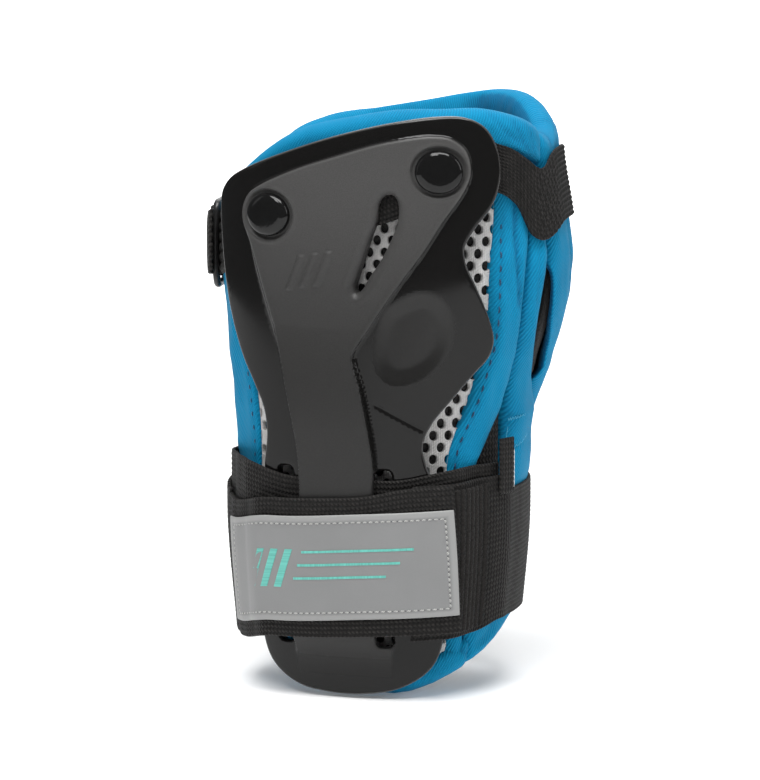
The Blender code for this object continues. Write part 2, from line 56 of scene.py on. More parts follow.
# The sleeve, as in the CAD.
WRIST_HALF_WIDTH = 32.3
FOREARM_GAIN = 4.0
HAND_GAIN = 11.0
WRIST_HALF_DEPTH = 23.0
DEPTH_GAIN = 2.0
SLEEVE_SHIFT = 1.3
HAND_SHIFT = 4.5
PALM_OFFSET = -2.3
PALM_DRIFT = -2.7
ROUNDING = 2.4
MEASURED_AT = 12.0
ORIGIN = (-2.736, 4.397)
GIRTH_UNIT = 300.0
BACK_MIDDLE = GIRTH_UNIT / 2.0

HEM_SIDE = 21.0
SEAM_RIGHT = 66.0
SEAM_LEFT = -74.0
THUMB_MIDDLE = 124.0
THUMB_HALF_HEIGHT = 27.0
THUMB_HALF_WIDTH = 7.0
HEM_LINE = np.array((
    (-90, 24), (-50, 23), (-34, 20), (-24, 14), (-14, 5), (-4, 1.0), (6, -0.4), (16, -0.8), (22, 0.2),
    (30, 2.8), (37, 5.8), (48, 10.6), (58, 16), (67, 20), (90, 22),
))
HAND_EDGE = (
    (-110, 188), (-100, 184), (-90, 176), (-80, 169), (-62, 165), (-50, 170.5), (-42, 176.5), (-24, 188),
    (0, 194.3), (14, 196.5), (30, 197), (43, 197.2), (54, 195), (64, 191.5), (74, 187.5), (84, 188),
    (97, 193.5), (109, 198), (122, 199), (136, 197.3), (150, 194.8), (170, 191.5),
)
HAND_STRAP = (
    (-72, 147), (-60, 148), (-22, 161), (12, 172), (25, 177), (48, 176.5), (61, 165.5), (75, 170.5),
    (87, 171), (110, 167), (150, 160), (190, 152),
)

# The shell.
SHELL_LOW = 14.8
SHELL_HIGH = 17.4
BRIDGE_MIDDLE = -3.0
BRIDGE_RISE = 4.9
PANEL_RISE = 1.1
RIVETS = {"left": (-25.5, 161.5), "right": (28.5, 177.5)}

# The straps.
WEB = 1.2
TAPE = 0.6
TAPE_SPACING = 1.35
WEB_ROW = 1.7
TAPE_RIB = 2.3
WRIST_STRAP_LOW = 19.0
WRIST_STRAP_HIGH = 69.0
BASE_STRAP_RAISE = 6.0
WRIST_STRAP_CLIMB = 5.0
BASE_STRAP_CLIMB = 4.0
BASE_SIDE = 12.9
BASE_FRONT = 18.5
OVER_BASE = 1.7
OVER_BRIDGE = 3.7
FLAP_HINGE = -48.0
FLAP_END = 34.5
FLAP_TIP = 36.2
FLAP_LEAN = 3.4
PATCH_LEAN = 2.6
HAND_STRAP_WIDTH = 24.0
HAND_SIDE = 12.9
UNDER_SHELL = 13.75
RING_FRONT = -60.0
RING_PITCH = 12.0
RING_LEVEL = 15.15
RING_BAR = 1.25
RING_HALF_HEIGHT = 14.0
LOOP_LEVEL = 19.0
FLAP_LEVEL = 16.5

# Colours, linear.
BLUE = (0.0012, 0.252, 0.465)
BLUE_SHADE = (0.001, 0.115, 0.245)
WEB_DARK = (0.006, 0.0056, 0.0052)
# The painted highlight on the webbing's threads.
WEB_HIGHLIGHT = (0.03, 0.0275, 0.026)
PLASTIC = (0.006, 0.0058, 0.0056)
# The pale end of the shell: its paler panel, its scuffs and its painted highlights.
PLASTIC_PALE_AND_HIGHLIGHT = (0.085, 0.0835, 0.082)
KNIT_WHITE = (0.74, 0.73, 0.72)
KNIT_SHADE = (0.25, 0.245, 0.24)
PATCH_GREY = (0.21, 0.212, 0.212)
PATCH_RIM = (0.27, 0.272, 0.268)
TEAL = (0.13, 0.50, 0.43)
PAPER = (0.92, 0.92, 0.92)


# ---------------------------------------------------------------- the wrapped surface

def smooth(value):
    """Ease from 0 to 1 as the value goes from 0 to 1."""
    value = np.clip(value, 0.0, 1.0)
    return value * value * (3.0 - 2.0 * value)


def widening(z):
    """How far the sleeve has widened from the wrist to the hand."""
    return smooth((z - 90.0) / 55.0)


def girth(z):
    """Half width, half depth and sideways shift of the hollow at height z."""
    half_width = WRIST_HALF_WIDTH + FOREARM_GAIN * smooth(z / 60.0) + HAND_GAIN * widening(z)
    half_depth = WRIST_HALF_DEPTH + DEPTH_GAIN * smooth(z / 60.0)
    return half_width, half_depth, SLEEVE_SHIFT + HAND_SHIFT * widening(z)


COLUMNS = 1440
TURNS = np.linspace(-math.pi, math.pi, COLUMNS + 1)
AROUND_X = np.sign(np.sin(TURNS)) * np.abs(np.sin(TURNS)) ** (2.0 / ROUNDING)
AROUND_Y = -np.sign(np.cos(TURNS)) * np.abs(np.cos(TURNS)) ** (2.0 / ROUNDING)
LEVELS = np.arange(-15.0, 221.0, 1.0)


def around_table():
    """Half the girth at each of LEVELS, and the way round at even distances from the palm."""
    halves, around = [], []
    for z in LEVELS:
        half_width, half_depth, _ = girth(z)
        across = np.diff((half_width + MEASURED_AT) * AROUND_X)
        steps = np.hypot(across, np.diff((half_depth + MEASURED_AT) * AROUND_Y))
        run = np.concatenate(([0.0], np.cumsum(steps)))
        even = np.linspace(0.0, run[-1], COLUMNS + 1)
        halves.append(run[-1] / 2.0)
        around.append(np.stack([np.interp(even, run, AROUND_X), np.interp(even, run, AROUND_Y)], axis=1))
    return np.array(halves), np.array(around)


HALF_GIRTHS, AROUND = around_table()


def full_girth(z):
    return 2.0 * np.interp(z, LEVELS, HALF_GIRTHS)


def at_share(share, z):
    """The distance s of a share at a height."""
    return share * full_girth(z) / GIRTH_UNIT


def share_of(s, z):
    return s * GIRTH_UNIT / full_girth(z)


def place(s, z, t):
    """Points in space, in metres, of places on the sleeve."""
    s, z, t = np.broadcast_arrays(np.asarray(s, float), np.asarray(z, float), np.asarray(t, float))
    t = t - hand_taper(s, z)
    half_width, half_depth, shift = girth(z)
    turn = (s + PALM_OFFSET + PALM_DRIFT * widening(z)) / full_girth(z) + 0.5
    column = (turn % 1.0) * COLUMNS
    row = np.clip(z - LEVELS[0], 0.0, len(LEVELS) - 1.001)
    i, j = row.astype(int), np.minimum(column.astype(int), COLUMNS - 1)
    up, on = (row - i)[..., None], (column - j)[..., None]
    near = AROUND[i, j] * (1.0 - on) + AROUND[i, j + 1] * on
    far = AROUND[i + 1, j] * (1.0 - on) + AROUND[i + 1, j + 1] * on
    across = near * (1.0 - up) + far * up
    x = (half_width + t) * across[..., 0] + shift + ORIGIN[0]
    y = (half_depth + t) * across[..., 1] + ORIGIN[1]
    return np.stack([x, y, z], axis=-1) * MM


def hand_taper(s, z):
    """How far the sleeve pulls in on both sides towards its hand end."""
    share = share_of(s, z)
    left = smooth((-44.0 - share) / 14.0) * smooth((share + 110.0) / 30.0)
    right = smooth((share - 56.0) / 16.0) * smooth((130.0 - share) / 30.0)
    return 4.0 * (left + right) * smooth((z - 152.0) / 34.0)


def height_round(share, heights):
    """Height at a share round the sleeve, on a smooth closed curve through the places that are listed."""
    listed = np.array(heights, float)
    share = (np.asarray(share, float) - listed[0, 0]) % GIRTH_UNIT + listed[0, 0]
    listed = np.concatenate([listed[-1:] - (GIRTH_UNIT, 0.0), listed, listed[:2] + (GIRTH_UNIT, 0.0)])
    slopes = np.gradient(listed[:, 1], listed[:, 0])
    k = np.clip(np.searchsorted(listed[:, 0], share, side="right") - 1, 1, len(listed) - 3)
    width = listed[k + 1, 0] - listed[k, 0]
    a = (share - listed[k, 0]) / width
    eased = smooth(a)
    height = listed[k, 1] * (1.0 - eased) + listed[k + 1, 1] * eased
    return height + width * a * (1.0 - a) * ((1.0 - a) * slopes[k] - a * slopes[k + 1])


def hand_edge(s):
    """Height of the sleeve's edge at the fingers."""
    return height_round(share_of(s, 190.0), HAND_EDGE)


def hem(s):
    """Height of the sleeve's edge at the forearm."""
    return np.interp(s, HEM_LINE[:, 0], HEM_LINE[:, 1])


def thumb_width(z):
    """Half the width of the thumb opening in the lining."""
    reach = 1.0 - ((z - THUMB_MIDDLE) / THUMB_HALF_HEIGHT) ** 2
    return THUMB_HALF_WIDTH * np.sqrt(np.maximum(reach, 0.0))


def mesh_left(z):
    """The border between the mesh and the padding on the little-finger side."""
    return -36.6 - 7.4 * smooth((z - 80.0) / 56.0)


def mesh_right(z):
    """The border between the mesh and the padding on the thumb side."""
    bulge = 2.8 * np.exp(-((z - 96.0) / 14.0) ** 2)
    return 34.0 + 13.0 * smooth((z - 80.0) / 45.0) + bulge + 1.4 * smooth((z - 140.0) / 25.0)


# ---------------------------------------------------------------- shapes on the surface

CELLS = 96
LATTICE = np.random.default_rng(11).uniform(-1.0, 1.0, (CELLS, CELLS))


def noise(a, b, size_a, size_b, seed=0):
    """A smooth wander between -1 and 1 over the surface."""
    x, y = a / size_a + 31.7 * seed + 200.0, b / size_b + 17.3 * seed + 200.0
    i, j = np.floor(x).astype(int), np.floor(y).astype(int)
    on, up = smooth(x - i), smooth(y - j)
    i, j, next_i, next_j = i % CELLS, j % CELLS, (i + 1) % CELLS, (j + 1) % CELLS
    near = LATTICE[i, j] * (1.0 - on) + LATTICE[next_i, j] * on
    far = LATTICE[i, next_j] * (1.0 - on) + LATTICE[next_i, next_j] * on
    return near * (1.0 - up) + far * up


def pillow(distance, radius):
    """A rounded shoulder: 0 at an edge, and 1 from the radius inwards."""
    away = 1.0 - np.clip(distance / radius, 0.0, 1.0)
    return np.sqrt(np.maximum(1.0 - away * away, 0.0))


def ridge(distance, width):
    """A soft ridge of height 1 on a line."""
    return np.exp(-(distance / width) ** 2)


def ridges(distance, pitch):
    """Round ridges across a distance, from 0 in the grooves to 1 on top."""
    return np.abs(np.sin(math.pi * distance / pitch))


def curve_through(points, step, closed=False):
    """An evenly spaced line on a smooth curve through the given points."""
    points = np.array(points, float)
    if closed:
        padded = np.concatenate([points[-1:], points, points[:2]])
    else:
        padded = np.concatenate([2 * points[:1] - points[1:2], points, 2 * points[-1:] - points[-2:-1]])
    line = []
    for k in range(1, len(padded) - 2):
        a, b, c, d = padded[k - 1:k + 3]
        spans = ((a, b), (b, c), (c, d))
        knots = np.cumsum([0.0] + [max(np.linalg.norm(q - p), 1e-6) ** 0.5 for p, q in spans])
        u = np.linspace(knots[1], knots[2], 13)[:-1, None]
        first = [((knots[m + 1] - u) * p + (u - knots[m]) * q) / (knots[m + 1] - knots[m])
                 for m, (p, q) in enumerate(spans)]
        second = [((knots[m + 2] - u) * first[m] + (u - knots[m]) * first[m + 1]) / (knots[m + 2] - knots[m])
                  for m in (0, 1)]
        line.append(((knots[2] - u) * second[0] + (u - knots[1]) * second[1]) / (knots[2] - knots[1]))
    line = np.concatenate(line + [points[:1] if closed else points[-1:]])
    run = np.concatenate(([0.0], np.cumsum(np.linalg.norm(np.diff(line, axis=0), axis=1))))
    count = max(2, round(run[-1] / step))
    even = np.linspace(0.0, run[-1], count + 1)
    line = np.stack([np.interp(even, run, line[:, k]) for k in range(line.shape[1])], axis=1)
    return line[:-1] if closed else line


def line_distance(s, z, line, closed=False):
    """Distance of each place from a line of points."""
    places = np.stack([np.ravel(s), np.ravel(z)], axis=1)
    line = np.array(line, float)
    ends = np.roll(line, -1, axis=0) if closed else line[1:]
    best = np.full(len(places), 1e9)
    for start, end in zip(line, ends):
        run = end - start
        along = np.clip((places - start) @ run / max(run @ run, 1e-12), 0.0, 1.0)
        away = places - start - along[:, None] * run
        best = np.minimum(best, np.hypot(away[:, 0], away[:, 1]))
    return best.reshape(np.shape(s))


def inside(s, z, loop):
    s, z = np.asarray(s, float), np.asarray(z, float)
    hit = np.zeros(s.shape, bool)
    loop = np.array(loop, float)
    for (ax, ay), (bx, by) in zip(loop, np.roll(loop, -1, axis=0)):
        if ay == by:
            continue
        crosses = ((ay > z) != (by > z)) & (s < ax + (z - ay) * (bx - ax) / (by - ay))
        hit ^= crosses
    return hit


def depth_in(s, z, loop):
    """Distance from a closed outline: positive inside it and negative outside."""
    away = line_distance(s, z, loop, closed=True)
    return np.where(inside(s, z, loop), away, -away)


def ellipse(centre, radii, tilt, count):
    """Points on an ellipse that leans by tilt degrees."""
    turns = np.linspace(0.0, 2.0 * math.pi, count, endpoint=False)
    lean = math.radians(tilt)
    across, up = radii[0] * np.cos(turns), radii[1] * np.sin(turns)
    s = centre[0] + across * math.cos(lean) - up * math.sin(lean)
    z = centre[1] + across * math.sin(lean) + up * math.cos(lean)
    return np.stack([s, z], axis=1)


# ---------------------------------------------------------------- making pieces

def make_piece(name, points, faces, material, flat=None, marks=None, sharp=None):
    """A mesh object from points in metres, with places in millimetres for its material."""
    mesh = bpy.data.meshes.new(name)
    mesh.from_pydata(np.asarray(points).tolist(), [], faces)
    mesh.validate()
    if flat is not None:
        attribute = mesh.attributes.new("flat", "FLOAT_VECTOR", "POINT")
        attribute.data.foreach_set("vector", np.asarray(flat, np.float32).ravel())
    for mark, values in (marks or {}).items():
        attribute = mesh.attributes.new(mark, "FLOAT", "POINT")
        attribute.data.foreach_set("value", np.asarray(values, np.float32).ravel())
    mesh.shade_smooth()
    if sharp:
        mesh.set_sharp_from_angle(angle=math.radians(sharp))
    mesh.materials.append(material)
    obj = bpy.data.objects.new(name, mesh)
    bpy.context.scene.collection.objects.link(obj)
    return obj


def finish_piece(obj, body, slot, *nodes):
    """Attach a piece to its body and hide the CAD nodes that it stands for. Its slot is not used."""
    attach(obj, body)
    if nodes:
        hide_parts(*nodes)
    return obj


def flat_size(obj):
    """Half of a thin piece's surface, in square metres."""
    obj.data.calc_loop_triangles()
    return sum(triangle.area for triangle in obj.data.loop_triangles) / 2.0


def declare_sheet(obj, width, length, held, rests_on, with_pieces=()):
    """Work out the smaller of a piece's half surface and its flat size in metres, which is not used further.
    """
    area = min(flat_size(obj), width * length)


EDGE_ROWS = (0.0, 0.12, 0.45, 1.0, 1.8, 2.8, 4.0)


def spread(length, step):
    """Places along a typical length, close together at both ends, as (from start, share of middle)."""
    middle = max(2, round((length - 2.0 * EDGE_ROWS[-1]) / step))
    rows = [(edge, 0.0, 0.0) for edge in EDGE_ROWS]
    rows += [(0.0, k / middle, 0.0) for k in range(1, middle)]
    rows += [(0.0, 0.0, edge) for edge in reversed(EDGE_ROWS)]
    return rows


def laid_out(rows, low, high):
    """Positions of the rows of spread() between a low and a high border."""
    edge = np.minimum(EDGE_ROWS[-1], (high - low) * 0.35)
    scale = edge / EDGE_ROWS[-1]
    found = []
    for k, (start, middle, end) in enumerate(rows):
        if k < len(EDGE_ROWS):
            found.append(low + start * scale)
        elif middle:
            found.append(low + edge + (high - low - 2.0 * edge) * middle)
        else:
            found.append(high - end * scale)
    return found


def panel_grid(left, right, bottom, top, width, height, step):
    """Places (s, z) on a grid that fills the space between four borders."""
    columns, rows = spread(width, step[0]), spread(height, step[1])
    shape = (len(rows), len(columns))
    s = np.zeros(shape)
    z = np.full(shape, 100.0)
    for _ in range(5):
        low_s, high_s = left(z), right(z)
        s = np.stack([laid_out(columns, low_s[:, k], high_s[:, k])[k] for k in range(shape[1])], axis=1)
        low_z, high_z = bottom(s), top(s)
        z = np.stack([laid_out(rows, low_z[k], high_z[k])[k] for k in range(shape[0])], axis=0)
    return s, z


def grid_faces(rows, columns, first=0, flip=False):
    faces = []
    for i in range(rows - 1):
        for j in range(columns - 1):
            a = first + i * columns + j
            quad = (a, a + 1, a + columns + 1, a + columns)
            faces.append(quad[::-1] if flip else quad)
    return faces


def border_of(rows, columns):
    """Indices round the rim of a grid."""
    rim = [j for j in range(columns)]
    rim += [i * columns + columns - 1 for i in range(1, rows)]
    rim += [(rows - 1) * columns + j for j in range(columns - 2, -1, -1)]
    rim += [i * columns for i in range(rows - 2, 0, -1)]
    return rim


def as_function(value):
    """The value itself if it is a function, or one that gives this number everywhere."""
    return value if callable(value) else lambda at, *rest: value + 0.0 * at


def closed_skin(name, shape, points, flat, material, painted_shade=None, flip=False, sharp=None):
    """A thin closed solid between two grids of points, the outer one first, which share their rim."""
    count = shape[0] * shape[1]
    rim = np.array(border_of(*shape))
    merged = np.arange(2 * count)
    merged[count + rim] = rim
    keep, number = np.unique(merged, return_inverse=True)
    corners = grid_faces(*shape) + grid_faces(*shape, first=count, flip=True)
    faces = [tuple(int(number[k]) for k in (face[::-1] if flip else face)) for face in corners]
    marks = None if painted_shade is None else {"painted_shade": painted_shade[keep]}
    return make_piece(name, points[keep], faces, material, flat[keep], marks, sharp)


def padded_panel(name, borders, size, step, outer, inner, material, seams, radius=4.5, painted_shade=0.0,
                 rounds=(5.5, 4.0)):
    """A closed padded panel between its left, right, bottom and top borders.

    outer(s, z) and inner(s, z) are its two faces, which come together at the level of its seams
    at the sides, and half way between them at the ends, which are rounded by rounds (top, bottom).
    Each of these and the borders is a function or a number.  The painted shade is one amount for both
    faces, or a pair for the outer and the inner one.
    """
    left, right, bottom, top = (as_function(border) for border in borders)
    s, z = panel_grid(left, right, bottom, top, size[0], size[1], step)
    side = np.minimum(s - left(z), right(z) - s)
    over, under = top(s) - z, z - bottom(s)
    high, low = as_function(outer)(s, z), as_function(inner)(s, z)
    level = as_function(seams)(s, z)
    middle = (high + low) / 2.0
    pull = smooth(1.0 - np.minimum(over / rounds[0], under / rounds[1]))
    join = level + (middle - level) * pull
    shoulder = pillow(side, radius) * pillow(over, rounds[0]) * pillow(under, rounds[1])
    high = join + (high - join) * shoulder
    low = join - (join - low) * shoulder
    points = np.concatenate([place(s, z, high).reshape(-1, 3), place(s, z, low).reshape(-1, 3)])
    levels = np.concatenate([high.ravel(), low.ravel()])
    flat = np.stack([np.tile(s.ravel(), 2), np.tile(z.ravel(), 2), levels], axis=1)
    shade = as_function(painted_shade)(s, z)
    pair = shade if isinstance(shade, tuple) else (shade, shade)
    return closed_skin(name, s.shape, points, flat, material, np.concatenate([face.ravel() for face in pair]))


# ---------------------------------------------------------------- materials

def is_socket(value):
    return isinstance(value, bpy.types.NodeSocket)


class Look:
    """A material in the making, with its shader and the nodes that drive it."""

    def __init__(self, name, roughness, specular=0.5, sheen=0.0, space="flat"):
        self.material = bpy.data.materials.new(name)
        self.material.use_nodes = True
        self.tree = self.material.node_tree
        self.shader = self.tree.nodes["Principled BSDF"]
        self.give("Roughness", roughness)
        self.give("Specular IOR Level", specular)
        self.give("Sheen Weight", sheen)
        if space == "flat":
            self.spot = self.node("ShaderNodeAttribute", attribute_name="flat").outputs["Vector"]
        else:
            self.spot = self.node("ShaderNodeTexCoord").outputs["Object"]

    def fill(self, socket, value):
        """Link an input to a socket or set it to a value."""
        if is_socket(value):
            self.tree.links.new(value, socket)
        else:
            socket.default_value = value

    def give(self, name, value):
        self.fill(self.shader.inputs[name], value)

    def node(self, kind, inputs=None, **settings):
        made = self.tree.nodes.new(kind)
        for key, value in settings.items():
            setattr(made, key, value)
        for key, value in (inputs or {}).items():
            self.fill(made.inputs[key], value)
        return made

    def maths(self, operation, first, second=0.0, third=0.0):
        return self.node("ShaderNodeMath", {0: first, 1: second, 2: third}, operation=operation).outputs[0]

    def scaled(self, value, factor, plus=0.0):
        return self.maths("MULTIPLY_ADD", value, factor, plus)

    def mark(self, name):
        return self.node("ShaderNodeAttribute", attribute_name=name).outputs["Fac"]

    def waves(self, direction, pitch, vector=None):
        """Ridges across a direction, between 0 and 1, with the given pitch."""
        inputs = {0: vector or self.spot, 1: (*direction, 0.0)}
        along = self.node("ShaderNodeVectorMath", inputs, operation="DOT_PRODUCT").outputs["Value"]
        return self.scaled(self.maths("SINE", self.scaled(along, 2.0 * math.pi / pitch)), 0.5, 0.5)

    def grain(self, scale, detail=2.0, roughness=0.5, output="Fac"):
        inputs = {"Vector": self.spot, "Scale": scale, "Detail": detail, "Roughness": roughness}
        return self.node("ShaderNodeTexNoise", inputs).outputs[output]

    def cells(self, scale, randomness=1.0):
        inputs = {"Vector": self.spot, "Scale": scale, "Randomness": randomness}
        return self.node("ShaderNodeTexVoronoi", inputs).outputs["Distance"]

    def eased(self, value, low, high):
        """The value eased from 0 at low to 1 at high."""
        inputs = {"Value": value, "From Min": low, "From Max": high}
        return self.node("ShaderNodeMapRange", inputs, interpolation_type="SMOOTHSTEP").outputs["Result"]

    def between(self, amount, first, second):
        """A colour between two colours, which may be sockets."""
        first, second = (color if is_socket(color) else (*color, 1.0) for color in (first, second))
        return self.node("ShaderNodeMix", {0: amount, 6: first, 7: second}, data_type="RGBA").outputs[2]

    def finish(self, amount, dark, light, height, distance, strength):
        """Set the colour and the bump, and give the finished material."""
        self.give("Base Color", self.between(amount, dark, light))
        inputs = {"Height": height, "Distance": distance, "Strength": strength}
        self.give("Normal", self.node("ShaderNodeBump", inputs).outputs["Normal"])
        return self.material


def times(color, factor, plus=0.0):
    return tuple(channel * factor + plus for channel in color)


def twill(name, light, dark, pitch=0.85):
    """Woven twill: diagonal ribs, fine cross threads, soft fading and painted shade in the creases."""
    look = Look(name, 0.72, 0.12, 0.06)
    look.give("Sheen Roughness", 0.5)
    look.give("Sheen Tint", (0.55, 0.8, 1.0, 1.0))
    wander = look.grain(0.09, 1.0, output="Color")
    bent = look.node("ShaderNodeVectorMath", {0: look.spot, 1: wander}, operation="ADD").outputs["Vector"]
    slant = math.radians(28.0)
    ribs = look.waves((math.cos(slant), -math.sin(slant)), pitch, bent)
    threads = look.waves((math.sin(slant), math.cos(slant)), pitch * 0.7, bent)
    fuzz = look.grain(2.6, 3.0)
    height = look.scaled(fuzz, 0.5, look.scaled(threads, 0.3, ribs))
    tone = look.scaled(ribs, 0.28, look.scaled(look.grain(0.045), 0.5, 0.22))
    # Painted shade: the cloth is darkened where the pieces mark creases, gathers, seams and hollows.
    tone = look.maths("SUBTRACT", tone, look.scaled(look.mark("painted_shade"), 0.75))
    look.give("Roughness", look.scaled(fuzz, 0.2, 0.62))
    return look.finish(look.eased(tone, 0.0, 1.0), dark, light, height, 0.00022, 0.7)


def woven(name, dark, light, row=1.7, tooth=1.25):
    """Webbing: rows of small chevrons along the strap, with painted highlights on the tops of the threads, in
    patches.
    """
    look = Look(name, 0.7, 0.2, 0.03)
    look.give("Sheen Roughness", 0.4)
    rows = look.waves((0.0, 1.0), row)
    split = look.node("ShaderNodeSeparateXYZ", {"Vector": look.spot})
    lean = look.maths("ABSOLUTE", look.maths("SINE", look.scaled(split.outputs["Y"], math.pi / row)))
    along = look.scaled(lean, 2.4, look.scaled(split.outputs["X"], 2.0 * math.pi / tooth))
    teeth = look.scaled(look.maths("SINE", along), 0.5, 0.5)
    height = look.scaled(look.grain(3.5, 3.0, 0.6), 0.5, look.scaled(rows, 0.8, teeth))
    patchiness = look.eased(look.grain(0.35, 3.0), 0.35, 0.75)
    # Painted highlight: lighter where the chevrons and rows stand highest, varied in patches.
    tone = look.maths("MULTIPLY", look.maths("MULTIPLY", teeth, rows), look.scaled(patchiness, 0.8, 0.5))
    return look.finish(tone, dark, light, height, 0.0003, 0.8)


def brushed_tape(name, dark, light, pitch, roughness=0.9):
    """Hook or loop tape: a close pile of small hairs in rows."""
    look = Look(name, roughness, 0.12, 0.04)
    tufts = look.scaled(look.cells(1.6, 0.7), -0.9, 0.9)
    height = look.scaled(look.waves((1.0, 0.0), pitch), 0.7, tufts)
    return look.finish(look.eased(height, 0.2, 1.4), dark, light, height, 0.0004, 0.9)


def shell_plastic():
    """Moulded plastic: polished wings, a fine-grained paler raised panel with painted light brightening it
    towards the top, painted highlights on its edges, and scuffs.
    """
    look = Look("shell_plastic", 0.2, 0.24)
    panel, pale_tone_and_painted_light = look.mark("panel"), look.mark("pale_tone_and_painted_light")
    speckle = look.grain(3.2, 4.0, 0.7)
    polish, matte = look.scaled(look.grain(0.05), 0.05, 0.07), look.scaled(speckle, 0.10, 0.36)
    mixed = look.node("ShaderNodeMix", {0: panel, 2: polish, 3: matte}, data_type="FLOAT")
    look.give("Roughness", mixed.outputs[0])
    scuffs = look.eased(look.grain(1.1, 6.0, 0.8), 0.66, 0.8)
    tone = look.maths("MULTIPLY", pale_tone_and_painted_light, look.scaled(speckle, 1.1, 0.45))
    height = look.maths("MULTIPLY", speckle, look.scaled(panel, 0.9, 0.02))
    return look.finish(look.scaled(scuffs, 0.15, tone), PLASTIC, PLASTIC_PALE_AND_HIGHLIGHT, height, 0.00012, 0.6)


def moulded(name, color, roughness, shine=0.5):
    """Plain moulded plastic with a faint skin and small variations in polish."""
    look = Look(name, roughness, shine, space="object")
    skin = look.grain(900.0, 3.0)
    look.give("Roughness", look.scaled(look.grain(60.0), 0.08, roughness - 0.04))
    return look.finish(look.scaled(skin, 0.5), color, times(color, 1.8, 0.004), skin, 0.00004, 0.4)


def spacer_knit():
    """White warp knit: small loops in columns, with painted shade in the walls of the holes."""
    look = Look("spacer_knit", 0.85, 0.2, 0.1)
    loops = look.maths("MULTIPLY", look.waves((1.0, 0.0), 0.62), look.waves((0.35, 1.0), 0.5))
    height = look.scaled(look.grain(3.0, 4.0, 0.7), 0.8, loops)
    tone = look.maths("SUBTRACT", look.scaled(height, 0.35, 0.55), look.scaled(look.mark("painted_shade"), 0.55))
    return look.finish(tone, KNIT_SHADE, KNIT_WHITE, height, 0.0003, 0.8)


def soft_foam(name, color, lighter, scale=1.4):
    """Foam or brushed lining: fine cells or hairs."""
    look = Look(name, 0.95, 0.15, 0.1)
    height = look.scaled(look.cells(scale), 0.8, look.grain(1.2, 4.0, 0.7))
    return look.finish(look.eased(height, 0.3, 1.2), color, lighter, height, 0.0003, 0.7)


def patch_film():
    """A matt grey film with a lighter rim and a faint grain."""
    look = Look("patch_film", 0.5, 0.4)
    speckle = look.grain(1.8, 4.0, 0.6)
    cloudy = look.scaled(look.grain(0.06), 0.5, look.scaled(speckle, 0.25))
    base = look.between(cloudy, times(PATCH_GREY, 0.86), times(PATCH_GREY, 1.15))
    look.give("Roughness", look.scaled(speckle, 0.2, 0.38))
    return look.finish(look.mark("rim"), base, PATCH_RIM, speckle, 0.00008, 0.5)


def thread(name, color, lighter):
    """Sewing thread: a twist of two yarns."""
    look = Look(name, 0.6, 0.3, 0.2)
    twist = look.waves((1.0, 0.8), 0.5)
    return look.finish(twist, color, lighter, twist, 0.00012, 0.8)


def printed(name, color):
    """Printed ink, slightly uneven."""
    look = Look(name, 0.45, 0.4)
    speckle = look.grain(2.4, 4.0, 0.6)
    return look.finish(look.eased(speckle, 0.3, 0.7), times(color, 0.7), color, speckle, 0.00006, 0.5)


BLUE_TWILL = twill("blue_twill", BLUE, BLUE_SHADE)
BLACK_LINING = soft_foam("black_lining", (0.008, 0.008, 0.008), (0.022, 0.021, 0.02), 0.9)
FOAM = soft_foam("foam", (0.012, 0.012, 0.012), (0.05, 0.049, 0.048))
KNIT = spacer_knit()
SHELL_PLASTIC = shell_plastic()
RIVET_PLASTIC = moulded("rivet_plastic", (0.004, 0.004, 0.004), 0.06, 0.28)
RING_PLASTIC = moulded("ring_plastic", (0.012, 0.012, 0.012), 0.35)
SPLINT_PLASTIC = moulded("splint_plastic", (0.03, 0.03, 0.03), 0.45)
WEBBING = woven("webbing", WEB_DARK, WEB_HIGHLIGHT)
ELASTIC = woven("elastic", WEB_DARK, (0.05, 0.046, 0.043), 2.1, 1.5)
HOOK = brushed_tape("hook_tape", (0.006, 0.006, 0.006), (0.03, 0.029, 0.028), 1.4, 0.6)
LOOP = brushed_tape("loop_tape", (0.005, 0.0047, 0.0045), (0.02, 0.0185, 0.0175), 2.3)
FILM = patch_film()
LABEL = soft_foam("label_white", (0.55, 0.55, 0.53), (0.78, 0.78, 0.76), 2.5)
# Dark navy thread: thread colour with painted shade of the stitches sunk in the cloth.
SHADED_BLUE_THREAD = thread("blue_thread", (0.001, 0.025, 0.07), (0.002, 0.06, 0.15))
LIGHT_BLUE_THREAD = thread("light_blue_thread", (0.01, 0.25, 0.45), (0.03, 0.4, 0.62))
GREY_THREAD = thread("grey_thread", (0.24, 0.24, 0.23), (0.5, 0.5, 0.48))
BLACK_THREAD = thread("black_thread", (0.008, 0.008, 0.008), (0.05, 0.047, 0.044))
TEAL_INK = printed("teal_ink", TEAL)


# ---------------------------------------------------------------- stitches

